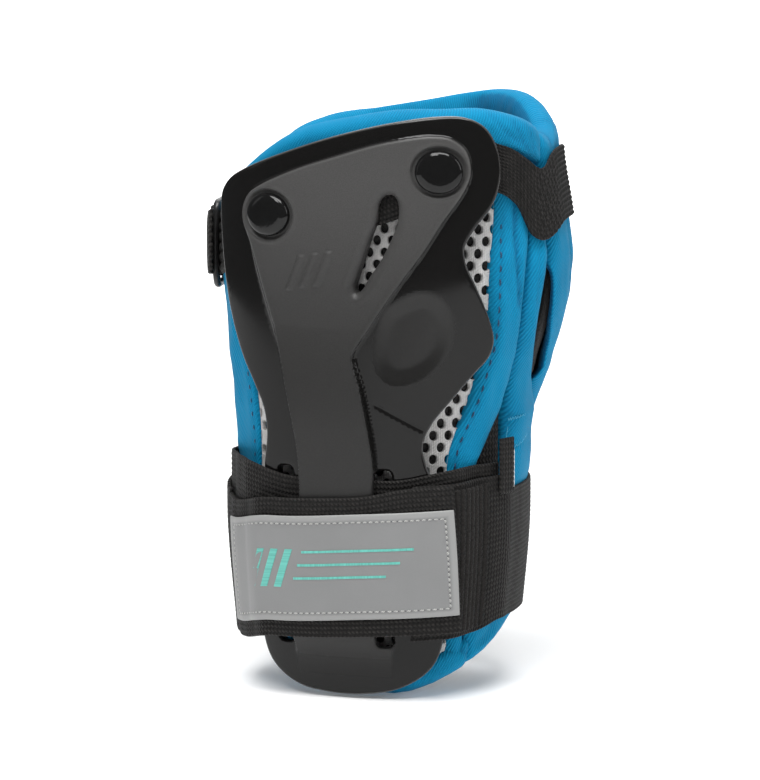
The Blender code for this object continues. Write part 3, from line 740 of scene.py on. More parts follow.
def stitches(name, runs, material, radius=0.32, sides=6, rings=5, bulge=0.35):
    """Threads that rise from the cloth and go back in: runs of ((s, z, t), (s, z, t))."""
    points, faces, flats = [], [], []
    for start, end in runs:
        start, end = np.array(start, float), np.array(end, float)
        for k in range(rings):
            share = k / (rings - 1)
            middle = start + (end - start) * share
            middle[2] += bulge * math.sin(math.pi * share) - 0.15
            width = radius * (0.35 + 0.65 * math.sin(math.pi * share) ** 0.5)
            run = end - start
            length = math.hypot(run[0], run[1])
            aside = np.array([-run[1], run[0]]) / length
            for m in range(sides):
                turn = 2.0 * math.pi * m / sides
                shift = width * math.cos(turn)
                points.append((middle[0] + aside[0] * shift, middle[1] + aside[1] * shift,
                               middle[2] + width * math.sin(turn)))
                flats.append((length * share, width * turn, 0.0))
        first = len(points) - rings * sides
        for k in range(rings - 1):
            for m in range(sides):
                a, b = first + k * sides + m, first + k * sides + (m + 1) % sides
                faces.append((a, b, b + sides, a + sides))
        faces.append(tuple(first + m for m in reversed(range(sides))))
        faces.append(tuple(first + (rings - 1) * sides + m for m in range(sides)))
    return make_piece(name, place(*np.array(points).T), faces, material, flats)


def dashes(line, level, length, gap):
    """Runs of thread along a line of (s, z), at the height level(s, z)."""
    line = np.array(line, float)
    run = np.concatenate(([0.0], np.cumsum(np.linalg.norm(np.diff(line, axis=0), axis=1))))
    starts = np.arange(0.5, run[-1] - length, length + gap)
    runs = []
    for start in starts:
        ends = []
        for along in (start, start + length):
            s, z = np.interp(along, run, line[:, 0]), np.interp(along, run, line[:, 1])
            ends.append((s, z, float(level(s, z))))
        runs.append(tuple(ends))
    return runs


# ---------------------------------------------------------------- the palm shell

SHELL_OUTLINE = (
    (-29, 40), (-28.6, 18), (-24.6, 8.6), (-15.5, 2.1), (-4.5, 0), (5.5, 0), (17, 2.3), (26.4, 8.8),
    (30.5, 18), (31, 40), (29.4, 70), (26, 79), (25, 85.5), (27.4, 92.5), (33.6, 101), (40.2, 109.5),
    (44.9, 115.5), (46.2, 120.8), (44.8, 127.5), (40.5, 139), (37.2, 147), (36.7, 152), (39.5, 158),
    (45, 166), (47.3, 173), (47.5, 180), (46, 187), (42.5, 192.5), (37, 195.3), (29, 195.6), (14, 193.3),
    (-4, 188.6), (-21, 182.6), (-36, 176.3), (-43, 172.3), (-47, 167.5), (-47.8, 162), (-45.6, 140),
    (-42.3, 126), (-37, 113), (-31, 103), (-27.4, 96), (-26, 88), (-26.8, 78),
)
RAISED = (
    (-11, -12), (-11.5, 73), (-13.2, 90), (-17.2, 106), (-21.6, 120), (-27.5, 137), (-32, 151),
    (-34.8, 158), (-34.9, 163.5), (-32.5, 168.3), (-28, 171.5), (-22, 174.5), (-14, 178), (-4, 181.6),
    (9, 186), (21, 188.6), (27, 189.2), (32, 188.5), (36, 185.5), (37.8, 181), (37.9, 176.5), (36, 171),
    (33, 166), (30, 161.5), (24, 151), (18, 142), (12, 132.5), (7.5, 124.5), (3.4, 117.2), (3, 114.5),
    (5.8, 105), (8.8, 90), (10.6, 73), (10.6, -12),
)
VENT = (
    (12.3, 169.3), (10.2, 166.5), (9.6, 161.5), (7.2, 154.5), (5, 147.5), (3, 141.5), (2.2, 138.3),
    (3.1, 136.4), (5, 137.9), (7.2, 142), (10.4, 147), (14, 154.5), (16, 160.5), (16.3, 166), (15, 169.2),
)
DISH = (
    (12, 130.5), (17, 134.6), (23, 137), (29, 135.6), (32.8, 129.5), (32.6, 120), (28.5, 112),
    (22, 107.4), (15, 106.6), (10.8, 110.5), (9.6, 119),
)
WING_STEP = ((5.0, 102.5), (25.0, 91.0))
MARK_BARS = ((-19.0, 137.0), (-14.6, 137.8), (-10.2, 138.6))
BAR = (2.0, 11.5, 4.2)
RECESS = 8.3
RIVET_RADIUS = 7.2
EDGE_RADIUS = 1.1


def slot_outline(side):
    """One of the slots of the wrist strap, with round corners."""
    low, high = sorted((BRIDGE_MIDDLE + side * 13.2, BRIDGE_MIDDLE + side * 18.5))
    corner = 1.6
    outline = []
    for cs, cz, start in ((high, 77.0, 0), (low, 77.0, 90), (low, 17.0, 180), (high, 17.0, 270)):
        middle = (cs - math.copysign(corner, cs - (low + high) / 2.0), cz - math.copysign(corner, cz - 47.0))
        turns = np.radians(np.linspace(start, start + 90.0, 6))
        outline += [(middle[0] + corner * math.cos(a), middle[1] + corner * math.sin(a)) for a in turns]
    return curve_through(outline, 1.0, closed=True)


def mark_bar(corner):
    """One leaning bar of the plain raised mark."""
    width, tall, lean = BAR
    s, z = corner
    return np.array([(s, z), (s + width, z), (s + width + lean, z + tall), (s + lean, z + tall)])


def moved_in(loop, distance, hole):
    """A closed line moved into the solid part, away from its border."""
    ahead = np.roll(loop, -1, axis=0) - np.roll(loop, 1, axis=0)
    aside = np.stack([-ahead[:, 1], ahead[:, 0]], axis=1) / np.linalg.norm(ahead, axis=1)[:, None]
    area = np.sum(loop[:, 0] * np.roll(loop[:, 1], -1) - np.roll(loop[:, 0], -1) * loop[:, 1])
    return loop + aside * distance * (1.0 if (area > 0) != hole else -1.0)


def even_grid(low, high, step):
    """Places on a grid of equal triangles."""
    rows = np.arange(low[1], high[1], step * 0.866)
    places = []
    for k, z in enumerate(rows):
        across = np.arange(low[0] + (step / 2.0 if k % 2 else 0.0), high[0], step)
        places.append(np.stack([across, np.full(across.shape, z)], axis=1))
    return np.concatenate(places)


def filled(loops, places):
    """Triangles that fill the first loop apart from the other loops, with extra places in it."""
    points = np.concatenate(list(loops) + [places])
    edges, first = [], 0
    for loop in loops:
        edges += [(first + k, first + (k + 1) % len(loop)) for k in range(len(loop))]
        first += len(loop)
    result = delaunay_2d_cdt([Vector(point) for point in points], edges, [], 0, 1e-6)
    points = np.array([tuple(point) for point in result[0]])
    triangles = np.array(result[2])
    middle = points[triangles].mean(axis=1)
    keep = inside(middle[:, 0], middle[:, 1], loops[0])
    for loop in loops[1:]:
        keep &= ~inside(middle[:, 0], middle[:, 1], loop)
    return points, triangles[keep]


def along_bridge(z):
    """1 where the bridge stands over the straps, and 0 at both of its ends."""
    return smooth((z - 11.0) / 14.0) * smooth((138.0 - z) / 48.0)


def shell_shape(s, z, vent_loop):
    """Height of the shell's face over its plain level, and how far a place is on the raised part."""
    wall = depth_in(s, z, curve_through(RAISED, 1.2, closed=True))
    rise = np.maximum(PANEL_RISE * smooth((z - 100.0) / 30.0), BRIDGE_RISE * along_bridge(z))
    slope = 0.9 + 1.6 * smooth(-(s + 16.0) / 8.0) * smooth((z - 108.0) / 20.0) * smooth((156.0 - z) / 12.0)
    height = rise * smooth((wall + slope * 0.75) / slope)
    height += 0.22 * ridge(wall - 0.9, 0.7) * smooth((z - 112.0) / 12.0)
    dish = depth_in(s, z, curve_through(DISH, 1.2, closed=True))
    height -= 0.9 * smooth((dish + 0.4) / 5.5)
    (first_s, first_z), (last_s, last_z) = WING_STEP
    run = math.hypot(last_s - first_s, last_z - first_z)
    below = -((s - first_s) * (first_z - last_z) + (z - first_z) * (last_s - first_s)) / run
    step = 0.3 * smooth((below + 0.2) / 0.6) * smooth((z - 66.0) / 8.0) + 0.3 * ridge(below, 0.45)
    height -= smooth((s - 9.0) / 3.0) * step
    vent = -depth_in(s, z, vent_loop)
    height -= 1.1 * smooth((2.1 - vent) / 1.9)
    height += 0.18 * ridge(vent - 2.5, 0.6)
    for centre in RIVETS.values():
        away = np.hypot(s - centre[0], z - centre[1])
        height -= 1.0 * smooth((RECESS + 0.35 - away) / 0.8)
        height += 0.3 * ridge(away - RECESS - 0.9, 0.55)
    for corner in MARK_BARS:
        height += 0.6 * smooth((depth_in(s, z, mark_bar(corner)) + 0.25) / 0.5)
    return height, wall


def border_distance(s, z, loops):
    """Distance into the shell from the nearest of its borders, the outline and the holes."""
    away = depth_in(s, z, loops[0])
    for hole in loops[1:]:
        away = np.minimum(away, -depth_in(s, z, hole))
    return away


def near_feature(s, z):
    """Whether a place is near a wall, a step, the mark or a rivet's recess, and needs small triangles."""
    near = line_distance(s, z, curve_through(RAISED, 1.2, closed=True), closed=True) < 1.9
    near |= line_distance(s, z, WING_STEP) < 0.9
    near |= (np.abs(s + 10.0) < 12.5) & (np.abs(z - 143.5) < 8.0)
    for centre in RIVETS.values():
        near |= np.abs(np.hypot(s - centre[0], z - centre[1]) - RECESS - 0.3) < 1.4
    return near


def make_shell():
    outline, vent = curve_through(SHELL_OUTLINE, 0.9, closed=True), curve_through(VENT, 0.6, closed=True)
    loops = [outline, slot_outline(-1), slot_outline(1), vent]
    loops += [ellipse(centre, (3.0, 3.0), 0.0, 24) for centre in RIVETS.values()]
    insets = (0.12, 0.38, 0.75, 1.15)
    places = [moved_in(loop, inset, loop is not outline) for loop in loops for inset in insets]
    for step, clear, fine in ((1.15, 1.75, False), (0.5, 1.4, True)):
        grid = even_grid((-50.0, -2.0), (50.0, 198.0), step)
        grid = grid[border_distance(*grid.T, loops) > clear]
        places.append(grid[near_feature(*grid.T) == fine])
    points, triangles = filled(loops, np.concatenate(places))
    s, z = points[:, 0], points[:, 1]
    height, wall = shell_shape(s, z, vent)
    edge = np.abs(border_distance(s, z, loops))
    high = SHELL_HIGH + height - EDGE_RADIUS * (1.0 - pillow(edge, EDGE_RADIUS))
    low = SHELL_LOW + BRIDGE_RISE * along_bridge(z) * smooth((wall + 1.5) / 2.5)
    low = low - 2.3 * smooth((1.7 + depth_in(s, z, vent)) / 0.6)
    count = len(points)
    space = np.concatenate([place(s, z, high), place(s, z, np.minimum(low, high - 0.6))])
    faces = [tuple(face) for face in triangles.tolist()]
    sides = dict.fromkeys(pair for a, b, c in faces for pair in ((a, b), (b, c), (c, a)))
    under = [(c + count, b + count, a + count) for a, b, c in faces]
    walls = [(b, a, a + count, b + count) for a, b in sides if (b, a) not in sides]
    flat = np.stack([np.tile(s, 2), np.tile(z, 2), np.concatenate([high, low])], axis=1)
    dish = smooth((depth_in(s, z, curve_through(DISH, 1.2, closed=True)) + 0.8) / 1.6)
    panel = np.maximum(smooth((wall + 0.2) / 0.7) * smooth((z - 4.0) / 16.0), 0.4 * dish)
    # Painted highlights: a light line along the outline's rounded edge and along the top of the raised
    # panel's border.
    painted_rim_highlight = 1.0 - smooth((np.abs(depth_in(s, z, outline)) - 0.1) / 0.7)
    painted_rim_highlight = np.maximum(painted_rim_highlight, ridge(wall - 0.5, 0.5) * smooth((z - 145.0) / 30.0))
    # The raised panel's own paler tone, with painted light brightening it towards the top, and the painted
    # highlights.
    pale_tone_and_painted_light = np.maximum(0.9 * painted_rim_highlight, panel * (0.22 + 0.42 * smooth((z - 105.0) / 75.0)))
    marks = {"panel": np.tile(panel, 2), "pale_tone_and_painted_light": np.tile(pale_tone_and_painted_light, 2)}
    shell = make_piece("palm_shell_moulded", space, faces + under + walls, SHELL_PLASTIC, flat, marks, 60.0)
    finish_piece(shell, "guard", "shell_plastic", "palm_shell")


def turned_piece(name, centre, profile, material, sides=64):
    """A round piece turned about an axis that stands on the sleeve: (radius, t) from low to high."""
    turns = np.linspace(0.0, 2.0 * math.pi, sides, endpoint=False)
    flat, faces, starts = [], [], []
    for radius, t in profile:
        ring = turns if radius else turns[:1]
        starts.append((len(flat), len(ring)))
        flat += [(radius * math.cos(a), radius * math.sin(a), t) for a in ring]
    for (first, many), (second, more) in zip(starts, starts[1:]):
        for k in range(sides):
            corners = [first + k % many, first + (k + 1) % many, second + (k + 1) % more, second + k % more]
            faces.append(tuple(dict.fromkeys(corners)))
    points = np.array([(centre[0] + a, centre[1] + b, t) for a, b, t in flat])
    return make_piece(name, place(*points.T), faces, material, flat, sharp=50.0)


def refinish(node_name, material):
    """Give a CAD piece that stays as it is its material."""
    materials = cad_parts[node_name].data.materials
    materials.clear()
    materials.append(material)


def make_rivets():
    floor = SHELL_HIGH + PANEL_RISE - 1.0
    stem, skirt = 2.4, RIVET_RADIUS
    profile = [(0.0, 13.15), (stem, 13.15), (stem, floor + 0.1), (skirt - 0.5, floor + 0.1),
               (skirt - 0.1, floor + 0.3), (skirt, floor + 0.7), (skirt - 0.05, floor + 1.2),
               (skirt - 0.2, floor + 1.55)]
    for r in np.linspace(6.85, 0.0, 18):
        crown = 0.3 * (1.0 - (r / 7.0) ** 2) + 1.2 * math.sqrt(1.0 - max((r - 4.5) / 2.5, 0.0) ** 2)
        profile.append((r, floor + 1.5 + crown))
    for side, centre in RIVETS.items():
        cap = turned_piece("rivet_dome_" + side, centre, profile, RIVET_PLASTIC)
        finish_piece(cap, "guard", "rivet_plastic", "rivet_cap_" + side)
        refinish("rivet_base_" + side, RIVET_PLASTIC)


# ---------------------------------------------------------------- the sleeve

HOLE_PITCH = (5.4, 4.1)
HOLE = (1.38, 1.72)
KNIT_TOP = 10.5
KNIT_THICK = 1.3


def hole_tile(centre):
    """Rings of places round one hole of the mesh, from its cell's border to the hole's lower rim."""
    half_s, half_z = HOLE_PITCH[0] / 2.0, HOLE_PITCH[1] / 2.0
    across, up = np.linspace(-half_s, half_s, 7), np.linspace(-half_z, half_z, 5)
    border = [(a, -half_z) for a in across[:-1]] + [(half_s, b) for b in up[:-1]]
    border += [(a, half_z) for a in across[:0:-1]] + [(-half_s, b) for b in up[:0:-1]]
    border = np.array(border)
    turns = np.arctan2(border[:, 1] / HOLE[1], border[:, 0] / HOLE[0])
    hole = np.stack([HOLE[0] * np.cos(turns), HOLE[1] * np.sin(turns)], axis=1)
    rings = [(border, KNIT_TOP), (border * 0.5 + hole * 0.5, KNIT_TOP + 0.12)]
    rings += [(border * 0.18 + hole * 0.82, KNIT_TOP), (hole, KNIT_TOP - 0.35), (hole, KNIT_TOP - KNIT_THICK)]
    return [(ring + centre, t) for ring, t in rings]


def make_mesh_panel():
    """The spacer mesh: a staggered pattern of oval holes with rounded rims."""
    points, faces, shade, known = [], [], [], {}

    def vertex(s, z, t, dark):
        s = float(np.clip(s, mesh_left(z) + 0.1, mesh_right(z) - 0.1))
        key = (round(s, 3), round(z, 3), round(t, 3))
        if key not in known:
            known[key] = len(points)
            points.append((s, z, t))
            shade.append(dark)
        return known[key]

    rows = np.arange(6.0, 196.0, HOLE_PITCH[1])
    for row, z in enumerate(rows):
        for s in np.arange(-56.7 + (HOLE_PITCH[0] / 2.0 if row % 2 else 0.0), 56.0, HOLE_PITCH[0]):
            low, high = float(hem(s)) + 8.5, float(hand_edge(s)) - 10.0
            if not (low < z < high and mesh_left(z) - 2.5 < s < mesh_right(z) + 2.5):
                continue
            rings = []
            for k, (ring, t) in enumerate(hole_tile((s, z))):
                # Painted shade, deepest at the hole's lower rim.
                rings.append([vertex(a, b, t, (0.0, 0.0, 0.1, 0.7, 1.0)[k]) for a, b in ring])
            for inner, outer in zip(rings[1:], rings):
                for m in range(len(inner)):
                    n = (m + 1) % len(inner)
                    face = tuple(dict.fromkeys((outer[m], outer[n], inner[n], inner[m])))
                    if len(face) > 2:
                        faces.append(face)
    points = np.array(points)
    wave = 0.12 * noise(points[:, 0], points[:, 1], 9.0, 14.0, 1)
    space = place(points[:, 0], points[:, 1], points[:, 2] + wave)
    knit = make_piece("spacer_mesh_panel", space, faces, KNIT, points, {"painted_shade": shade})
    finish_piece(knit, "guard", "spacer_mesh", "mesh_panel")


ROLL_RIGHT = (
    (0, 39.5), (40, 40.5), (60, 41.6), (78, 45.5), (84, 48.9), (96, 55.2), (106, 58), (114, 59),
    (132, 59), (146, 60), (153, 61), (163, 62), (200, 62),
)
THUMB_LEFT = (
    (0, 40.3), (40, 41.3), (60, 57), (78, 59.4), (86, 59.4), (96, 59.4), (106, 59.6), (114, 59.8),
    (132, 59.8), (146, 60.8), (153, 61.8), (163, 62.8), (200, 62.8),
)
GAP_FRONT = (
    (0, 76), (30, 80), (60, 84), (80, 84), (90, 82.5), (98, 79.5), (106, 74), (115, 70.5), (122, 69),
    (130, 68.5), (140, 69.3), (147, 70.2), (163, 70.4), (180, 70), (200, 70),
)
GAP_BACK = (
    (0, 76.8), (30, 80.8), (60, 84.8), (80, 84.8), (90, 83.4), (98, 80.3), (103, 78.5), (107, 79.5),
    (112, 80), (118, 78.2), (125, 75), (139, 73.6), (147, 71.4), (163, 71.2), (180, 70.8), (200, 70.8),
)
THUMB_BULGE = (
    (60, 0), (66, 0.4), (72, 1.8), (78, 2.3), (92, 2.3), (100, 0.8), (106, 0),
)
BACK_BULGE = (
    (60, 0), (66, 0.4), (72, 1.8), (78, 2.3), (92, 2.4), (97, 3), (101, 3.5), (106, 3.9), (112, 2.9),
    (117, 2.6), (127, 1.4), (140, 0),
)


def along_z(table, z):
    """The value at a height of a table of (z, value)."""
    table = np.array(table, float)
    return np.interp(z, table[:, 0], table[:, 1])


def valleys(s, z, creases, cap=1.0):
    """How deep the creases are: each is (line of (s, z), depth, radius)."""
    deep = np.zeros(np.shape(s))
    for line, depth, radius in creases:
        away = line_distance(s, z, curve_through(line, 2.0))
        deep = np.maximum(deep, depth * (1.0 - pillow(away, radius)))
    return deep * cap


def wrinkles(s, z, size, seed):
    """Long soft folds that run up the sleeve, with smaller ones between them."""
    bent = s + 2.0 * noise(s, z, 14.0, 22.0, seed)
    wave = 0.30 * noise(bent, z, 4.2, 21.0, seed + 1) + 0.14 * noise(bent + 0.3 * z, z, 2.0, 9.0, seed + 2)
    return size * wave


def clear_of_straps(z):
    """1 between the wrist strap and the hand strap, where the padding can bulge."""
    return smooth((z - 82.0) / 14.0) * smooth((158.0 - z) / 12.0)


def make_foam():
    borders = (lambda z: at_share(-48.5, z), lambda z: at_share(48.5, z), lambda s: hem(s) + 1.5,
               lambda s: hand_edge(s) - 7.0)
    foam = padded_panel("palm_foam_core", borders, (95.0, 185.0), (6.0, 8.0),
                        lambda s, z: 8.7 + 0.2 * noise(s, z, 8.0, 8.0), 2.2, FOAM, 5.0, 3.0)
    finish_piece(foam, "guard", "foam", "palm_foam_pad")


def blue_padding(name, nodes, borders, size, step, outer, seams, radius, painted_shade, inner=2.6,
                 rounds=(5.5, 4.0)):
    """One of the sleeve's padded pieces of blue cloth."""
    panel = padded_panel(name, borders, size, step, outer, inner, BLUE_TWILL, seams, radius, painted_shade, rounds)
    finish_piece(panel, "guard", "blue_twill", *nodes)


def side_padding(name, nodes, sides, size, step, crest, folds, creases, seams, radius, shade):
    """Blue padding beside the palm, from the hem to under the rim of the hand end.

    crest(s, z) is its level, folds are the size and seed of its wrinkles, and shade(depth) the
    painted shade of a crease.  Gives back the level of its outer face.
    """
    def outer(s, z):
        return crest(s, z) + wrinkles(s, z, *folds) * clear_of_straps(z) - valleys(s, z, creases)

    borders = (*sides, lambda s: hem(s) + 0.3, lambda s: hand_edge(s) - 12.5)
    blue_padding(name, nodes, borders, size, step, outer, seams, radius,
                 lambda s, z: shade(valleys(s, z, creases)))
    return outer


# Painted shade along a sunken seam.
def seam_shade(depth):
    return smooth(depth / 0.7) * 0.5


def make_side_panels():
    """The blue padding at both sides of the palm: the little-finger side and the thumb side."""
    stitch_left = [(float(mesh_left(z)) - 2.4, z) for z in range(30, 160, 6)]
    stitch_right = [(float(mesh_right(z)) + 2.3, z) for z in range(30, 166, 6)]

    def left_crest(s, z):
        heel = smooth((-44.0 - s) / 9.0) * smooth((z - 70.0) / 10.0) * smooth((128.0 - z) / 20.0)
        return 11.9 + 0.9 * clear_of_straps(z) + 1.9 * heel

    left_outer = side_padding(
        "little_finger_side", ("side_panel_left", "palm_binding_left"),
        (lambda z: at_share(SEAM_LEFT, z) + 0.3, lambda z: mesh_left(z) - 0.2), (32.0, 150.0), (1.1, 1.5),
        left_crest, (1.3, 3), [(stitch_left, 0.7, 1.5)], 10.6, 3.6, seam_shade)
    small_fold = ((55.4, 166), (55.5, 152), (55.9, 142), (57.0, 132))
    edge_outer = side_padding(
        "palm_edge_roll", ("palm_binding_right",),
        (lambda z: mesh_right(z) - 0.2, lambda z: along_z(ROLL_RIGHT, z)), (12.0, 165.0), (0.7, 1.2),
        lambda s, z: 11.9 + 1.5 * clear_of_straps(z), (1.6, 6),
        [(stitch_right, 0.75, 1.6), (small_fold, 1.7, 2.0)], 10.2, 4.6, seam_shade)
    thumb_creases = [
        (((66.0, 168), (65.0, 150), (64.5, 132)), 0.7, 3.0),
        (((58.0, 91.5), (63.0, 92.0), (67.0, 91.0)), 0.7, 1.2),
        (((57.0, 79.5), (64.0, 81.5), (72.0, 84.5)), 0.9, 1.4),
        (((55.0, 24), (51.0, 19), (46.0, 15)), 1.6, 3.0),
    ]

    def thumb_crest(s, z):
        return 11.8 + 1.3 * clear_of_straps(z) + along_z(THUMB_BULGE, z) * smooth((s - 58.0) / 10.0)

    thumb_outer = side_padding(
        "thumb_side_front", ("side_panel_right",),
        (lambda z: along_z(THUMB_LEFT, z), lambda z: along_z(GAP_FRONT, z)), (12.0, 165.0), (0.7, 1.2),
        thumb_crest, (1.6, 9), thumb_creases, 8.0, 5.0, lambda depth: smooth(depth / 3.0))

    borders = (lambda z: at_share(38.0, z), lambda z: at_share(62.0, z), 58.0, 108.0)
    gusset = padded_panel("thumb_gusset", borders, (17.0, 50.0), (1.0, 1.5), 9.6, 8.4, ELASTIC, 9.0, 1.0,
                          rounds=(1.0, 1.0))
    finish_piece(gusset, "guard", "webbing")
    declare_sheet(gusset, 0.024, 0.052, "stretched", ["palm_foam_core"])

    runs = dashes(stitch_left, lambda s, z: left_outer(s, z) + 0.1, 2.3, 2.3)
    runs += dashes(stitch_right, lambda s, z: edge_outer(s, z) + 0.1, 2.3, 2.3)
    threads = stitches("edge_stitches", runs, SHADED_BLUE_THREAD, 0.3)
    finish_piece(threads, "guard", "blue_twill")

    tacks, turns = [], 14
    ends = (((58.2, 91.6), (66.5, 92.2)), ((57.6, 79.6), (72.0, 84.6)), ((58.4, 88.6), (58.2, 83.0)))
    for start, end in ends:
        zigzag = []
        for k in range(turns + 1):
            s = start[0] + (end[0] - start[0]) * k / turns
            z = start[1] + (end[1] - start[1]) * k / turns + 0.55 * (-1) ** k
            zigzag.append((s, z, float(thumb_outer(np.array(s), np.array(z))) + 0.05))
        tacks += zip(zigzag, zigzag[1:])
    threads = stitches("bar_tacks", tacks, LIGHT_BLUE_THREAD, 0.17, 6, 4, 0.1)
    finish_piece(threads, "guard", "blue_twill")


def make_rims():
    """The soft rolled ends of the sleeve: at the fingers and under the shell at the forearm."""
    gathers = [
        (((58, 186), (52, 190), (47, 196)), 0.8, 2.2),
        (((62, 181), (58, 187), (55, 193)), 0.9, 2.2),
        (((66, 176), (63, 182), (61, 190)), 0.7, 2.0),
        (((38, 190), (44, 194), (49, 197)), 0.35, 2.4),
    ]
    borders = (lambda z: at_share(SEAM_LEFT, z) + 0.3, lambda z: at_share(SEAM_RIGHT, z) - 0.3,
               lambda s: hand_edge(s) - 13.5, lambda s: hand_edge(s) + 0.3)
    # Painted shade darkens the gathers at the hand end.
    blue_padding("hand_end_roll", ("hand_end_binding",), borders, (146.0, 13.5), (1.0, 0.8),
                 lambda s, z: 12.2 + 0.2 * noise(s, z, 14.0, 12.0, 12) - 0.6 * valleys(s, z, gathers),
                 8.0, 3.5, lambda s, z: smooth(valleys(s, z, gathers) / 1.2) * 0.6, 0.4, (6.2, 3.0))
    folds = [
        (((42, 12), (38, 15), (35, 20)), 1.2, 2.2),
        (((47, 14), (44, 18), (42, 23)), 1.4, 2.2),
        (((31, 7), (29, 10), (27, 14)), 0.6, 2.0),
    ]
    borders = (lambda z: at_share(-50.0, z) + 0.3, lambda z: at_share(50.0, z) - 0.3, lambda s: hem(s) - 0.6,
               lambda s: hem(s) + 11.0)
    # Painted shade darkens the folds at the forearm end.
    blue_padding("forearm_end_roll", ("forearm_end_binding",), borders, (88.0, 12.0), (1.0, 0.9),
                 lambda s, z: 12.0 + wrinkles(s, z, 1.2, 15) * 0.7 - valleys(s, z, folds),
                 8.0, 3.5, lambda s, z: smooth(valleys(s, z, folds) / 1.4), 0.6, (4.0, 5.0))


def stand_off(s, z):
    """How far the back padding stands away from the hand beside the thumb opening."""
    beside = smooth((z - 97.0) / 8.0) * smooth((150.0 - z) / 10.0) * smooth((114.0 - s) / 16.0)
    return (6.4 + along_z(BACK_BULGE, z)) * beside


def back_inner(s, z):
    """The inner face of the back padding, which comes up to the hand inside the lip."""
    lip = smooth((z - hand_edge(s) + 14.5) / 6.0)
    return 2.4 + stand_off(s, z) - 2.0 * lip + 0.4 * lip * noise(s, z, 2.6, 9.0, 21)


def make_back():
    """The back of the sleeve: a padded panel whose middle is flat, with its creases."""
    def pocket_side(share):
        return [(float(at_share(share, z)), z) for z in np.arange(24.0, 184.0, 8.0)]

    creases = [
        (pocket_side(BACK_MIDDLE - 24.0), 1.2, 3.0),
        (pocket_side(BACK_MIDDLE + 24.0), 1.2, 3.0),
        (((84.0, 176), (88.0, 150), (91.0, 120)), 0.9, 3.4),
        (((80.0, 184), (88.0, 191), (97.0, 196)), 1.3, 3.2),
        (((84.0, 181), (94.0, 187), (106.0, 193)), 0.9, 2.6),
        (((88.0, 193), (97.0, 190), (108.0, 189)), 0.9, 2.4),
    ]

    def outer(s, z):
        aside = np.abs(share_of(s, z) - BACK_MIDDLE)
        crest = 8.2 + 3.7 * smooth((aside - 21.0) / 7.0)
        crest = crest + 0.9 * clear_of_straps(z) * smooth((aside - 26.0) / 10.0)
        crest = crest + along_z(BACK_BULGE, z) * smooth((116.0 - s) / 14.0)
        return crest + wrinkles(s, z, 1.5, 18) * clear_of_straps(z) - valleys(s, z, creases)

    def shade(s, z):
        # Painted shade: darker in the creases, and in streaks on the inner face under the lip at the hand
        # end.
        gathers = 0.75 + 0.25 * noise(s, z, 1.3, 16.0, 26)
        deep = smooth((hand_edge(s) - 0.5 - z) / 2.0) * smooth((138.0 - share_of(s, z)) / 16.0) * gathers
        return smooth(valleys(s, z, creases) / 2.0) * 0.8, 1.8 * deep

    def seam_level(s, z):
        lifted = 3.4 * smooth((z - 99.0) / 9.0) * smooth((150.0 - z) / 10.0) + along_z(BACK_BULGE, z)
        return 8.0 + lifted * smooth((110.0 - s) / 14.0)

    borders = (lambda z: along_z(GAP_BACK, z), lambda z: at_share(SEAM_LEFT + GIRTH_UNIT, z) - 0.3,
               HEM_SIDE - 0.4, lambda s: hand_edge(s) + 0.3)
    blue_padding("back_padding", ("back_panel",), borders, (170.0, 168.0), (1.5, 1.8), outer, seam_level,
                 5.0, shade, back_inner, (6.0, 4.0))


def make_pocket():
    """The stiffener's pocket, sewn on the middle of the back."""
    half, low, high, inset = 20.0, 24.0, 178.0, 3.2
    borders = (lambda z: at_share(BACK_MIDDLE, z) - half, lambda z: at_share(BACK_MIDDLE, z) + half,
               low, high)

    def outer(s, z):
        edge = np.minimum(half - np.abs(s - at_share(BACK_MIDDLE, z)), np.minimum(z - low, high - z))
        return 11.9 - 0.8 * ridge(edge - inset, 0.9) + 0.12 * noise(s, z, 6.0, 12.0, 24)

    # Painted shade darkens the sunken stitch line round the edge.
    pocket = padded_panel("splint_pocket_cloth", borders, (40.0, 154.0), (1.2, 2.0), outer, 10.7, BLUE_TWILL,
                          10.6, 1.4, lambda s, z: smooth((11.8 - outer(s, z)) / 0.8) * 0.4, (1.4, 1.4))
    finish_piece(pocket, "guard", "blue_twill", "splint_pocket")
    declare_sheet(pocket, 0.041, 0.155, "stretched", ["back_padding"])
    heights = [low + inset, 60.0, 100.0, 140.0, high - inset]
    line = [(float(at_share(BACK_MIDDLE, z)) + half - inset, z) for z in heights]
    line += [(float(at_share(BACK_MIDDLE, z)) + inset - half, z) for z in heights[::-1]]
    runs = dashes(line + line[:1], lambda s, z: 11.25, 2.6, 1.2)
    threads = stitches("pocket_stitches", runs, SHADED_BLUE_THREAD, 0.3)
    finish_piece(threads, "guard", "blue_twill")
    refinish("back_splint", SPLINT_PLASTIC)


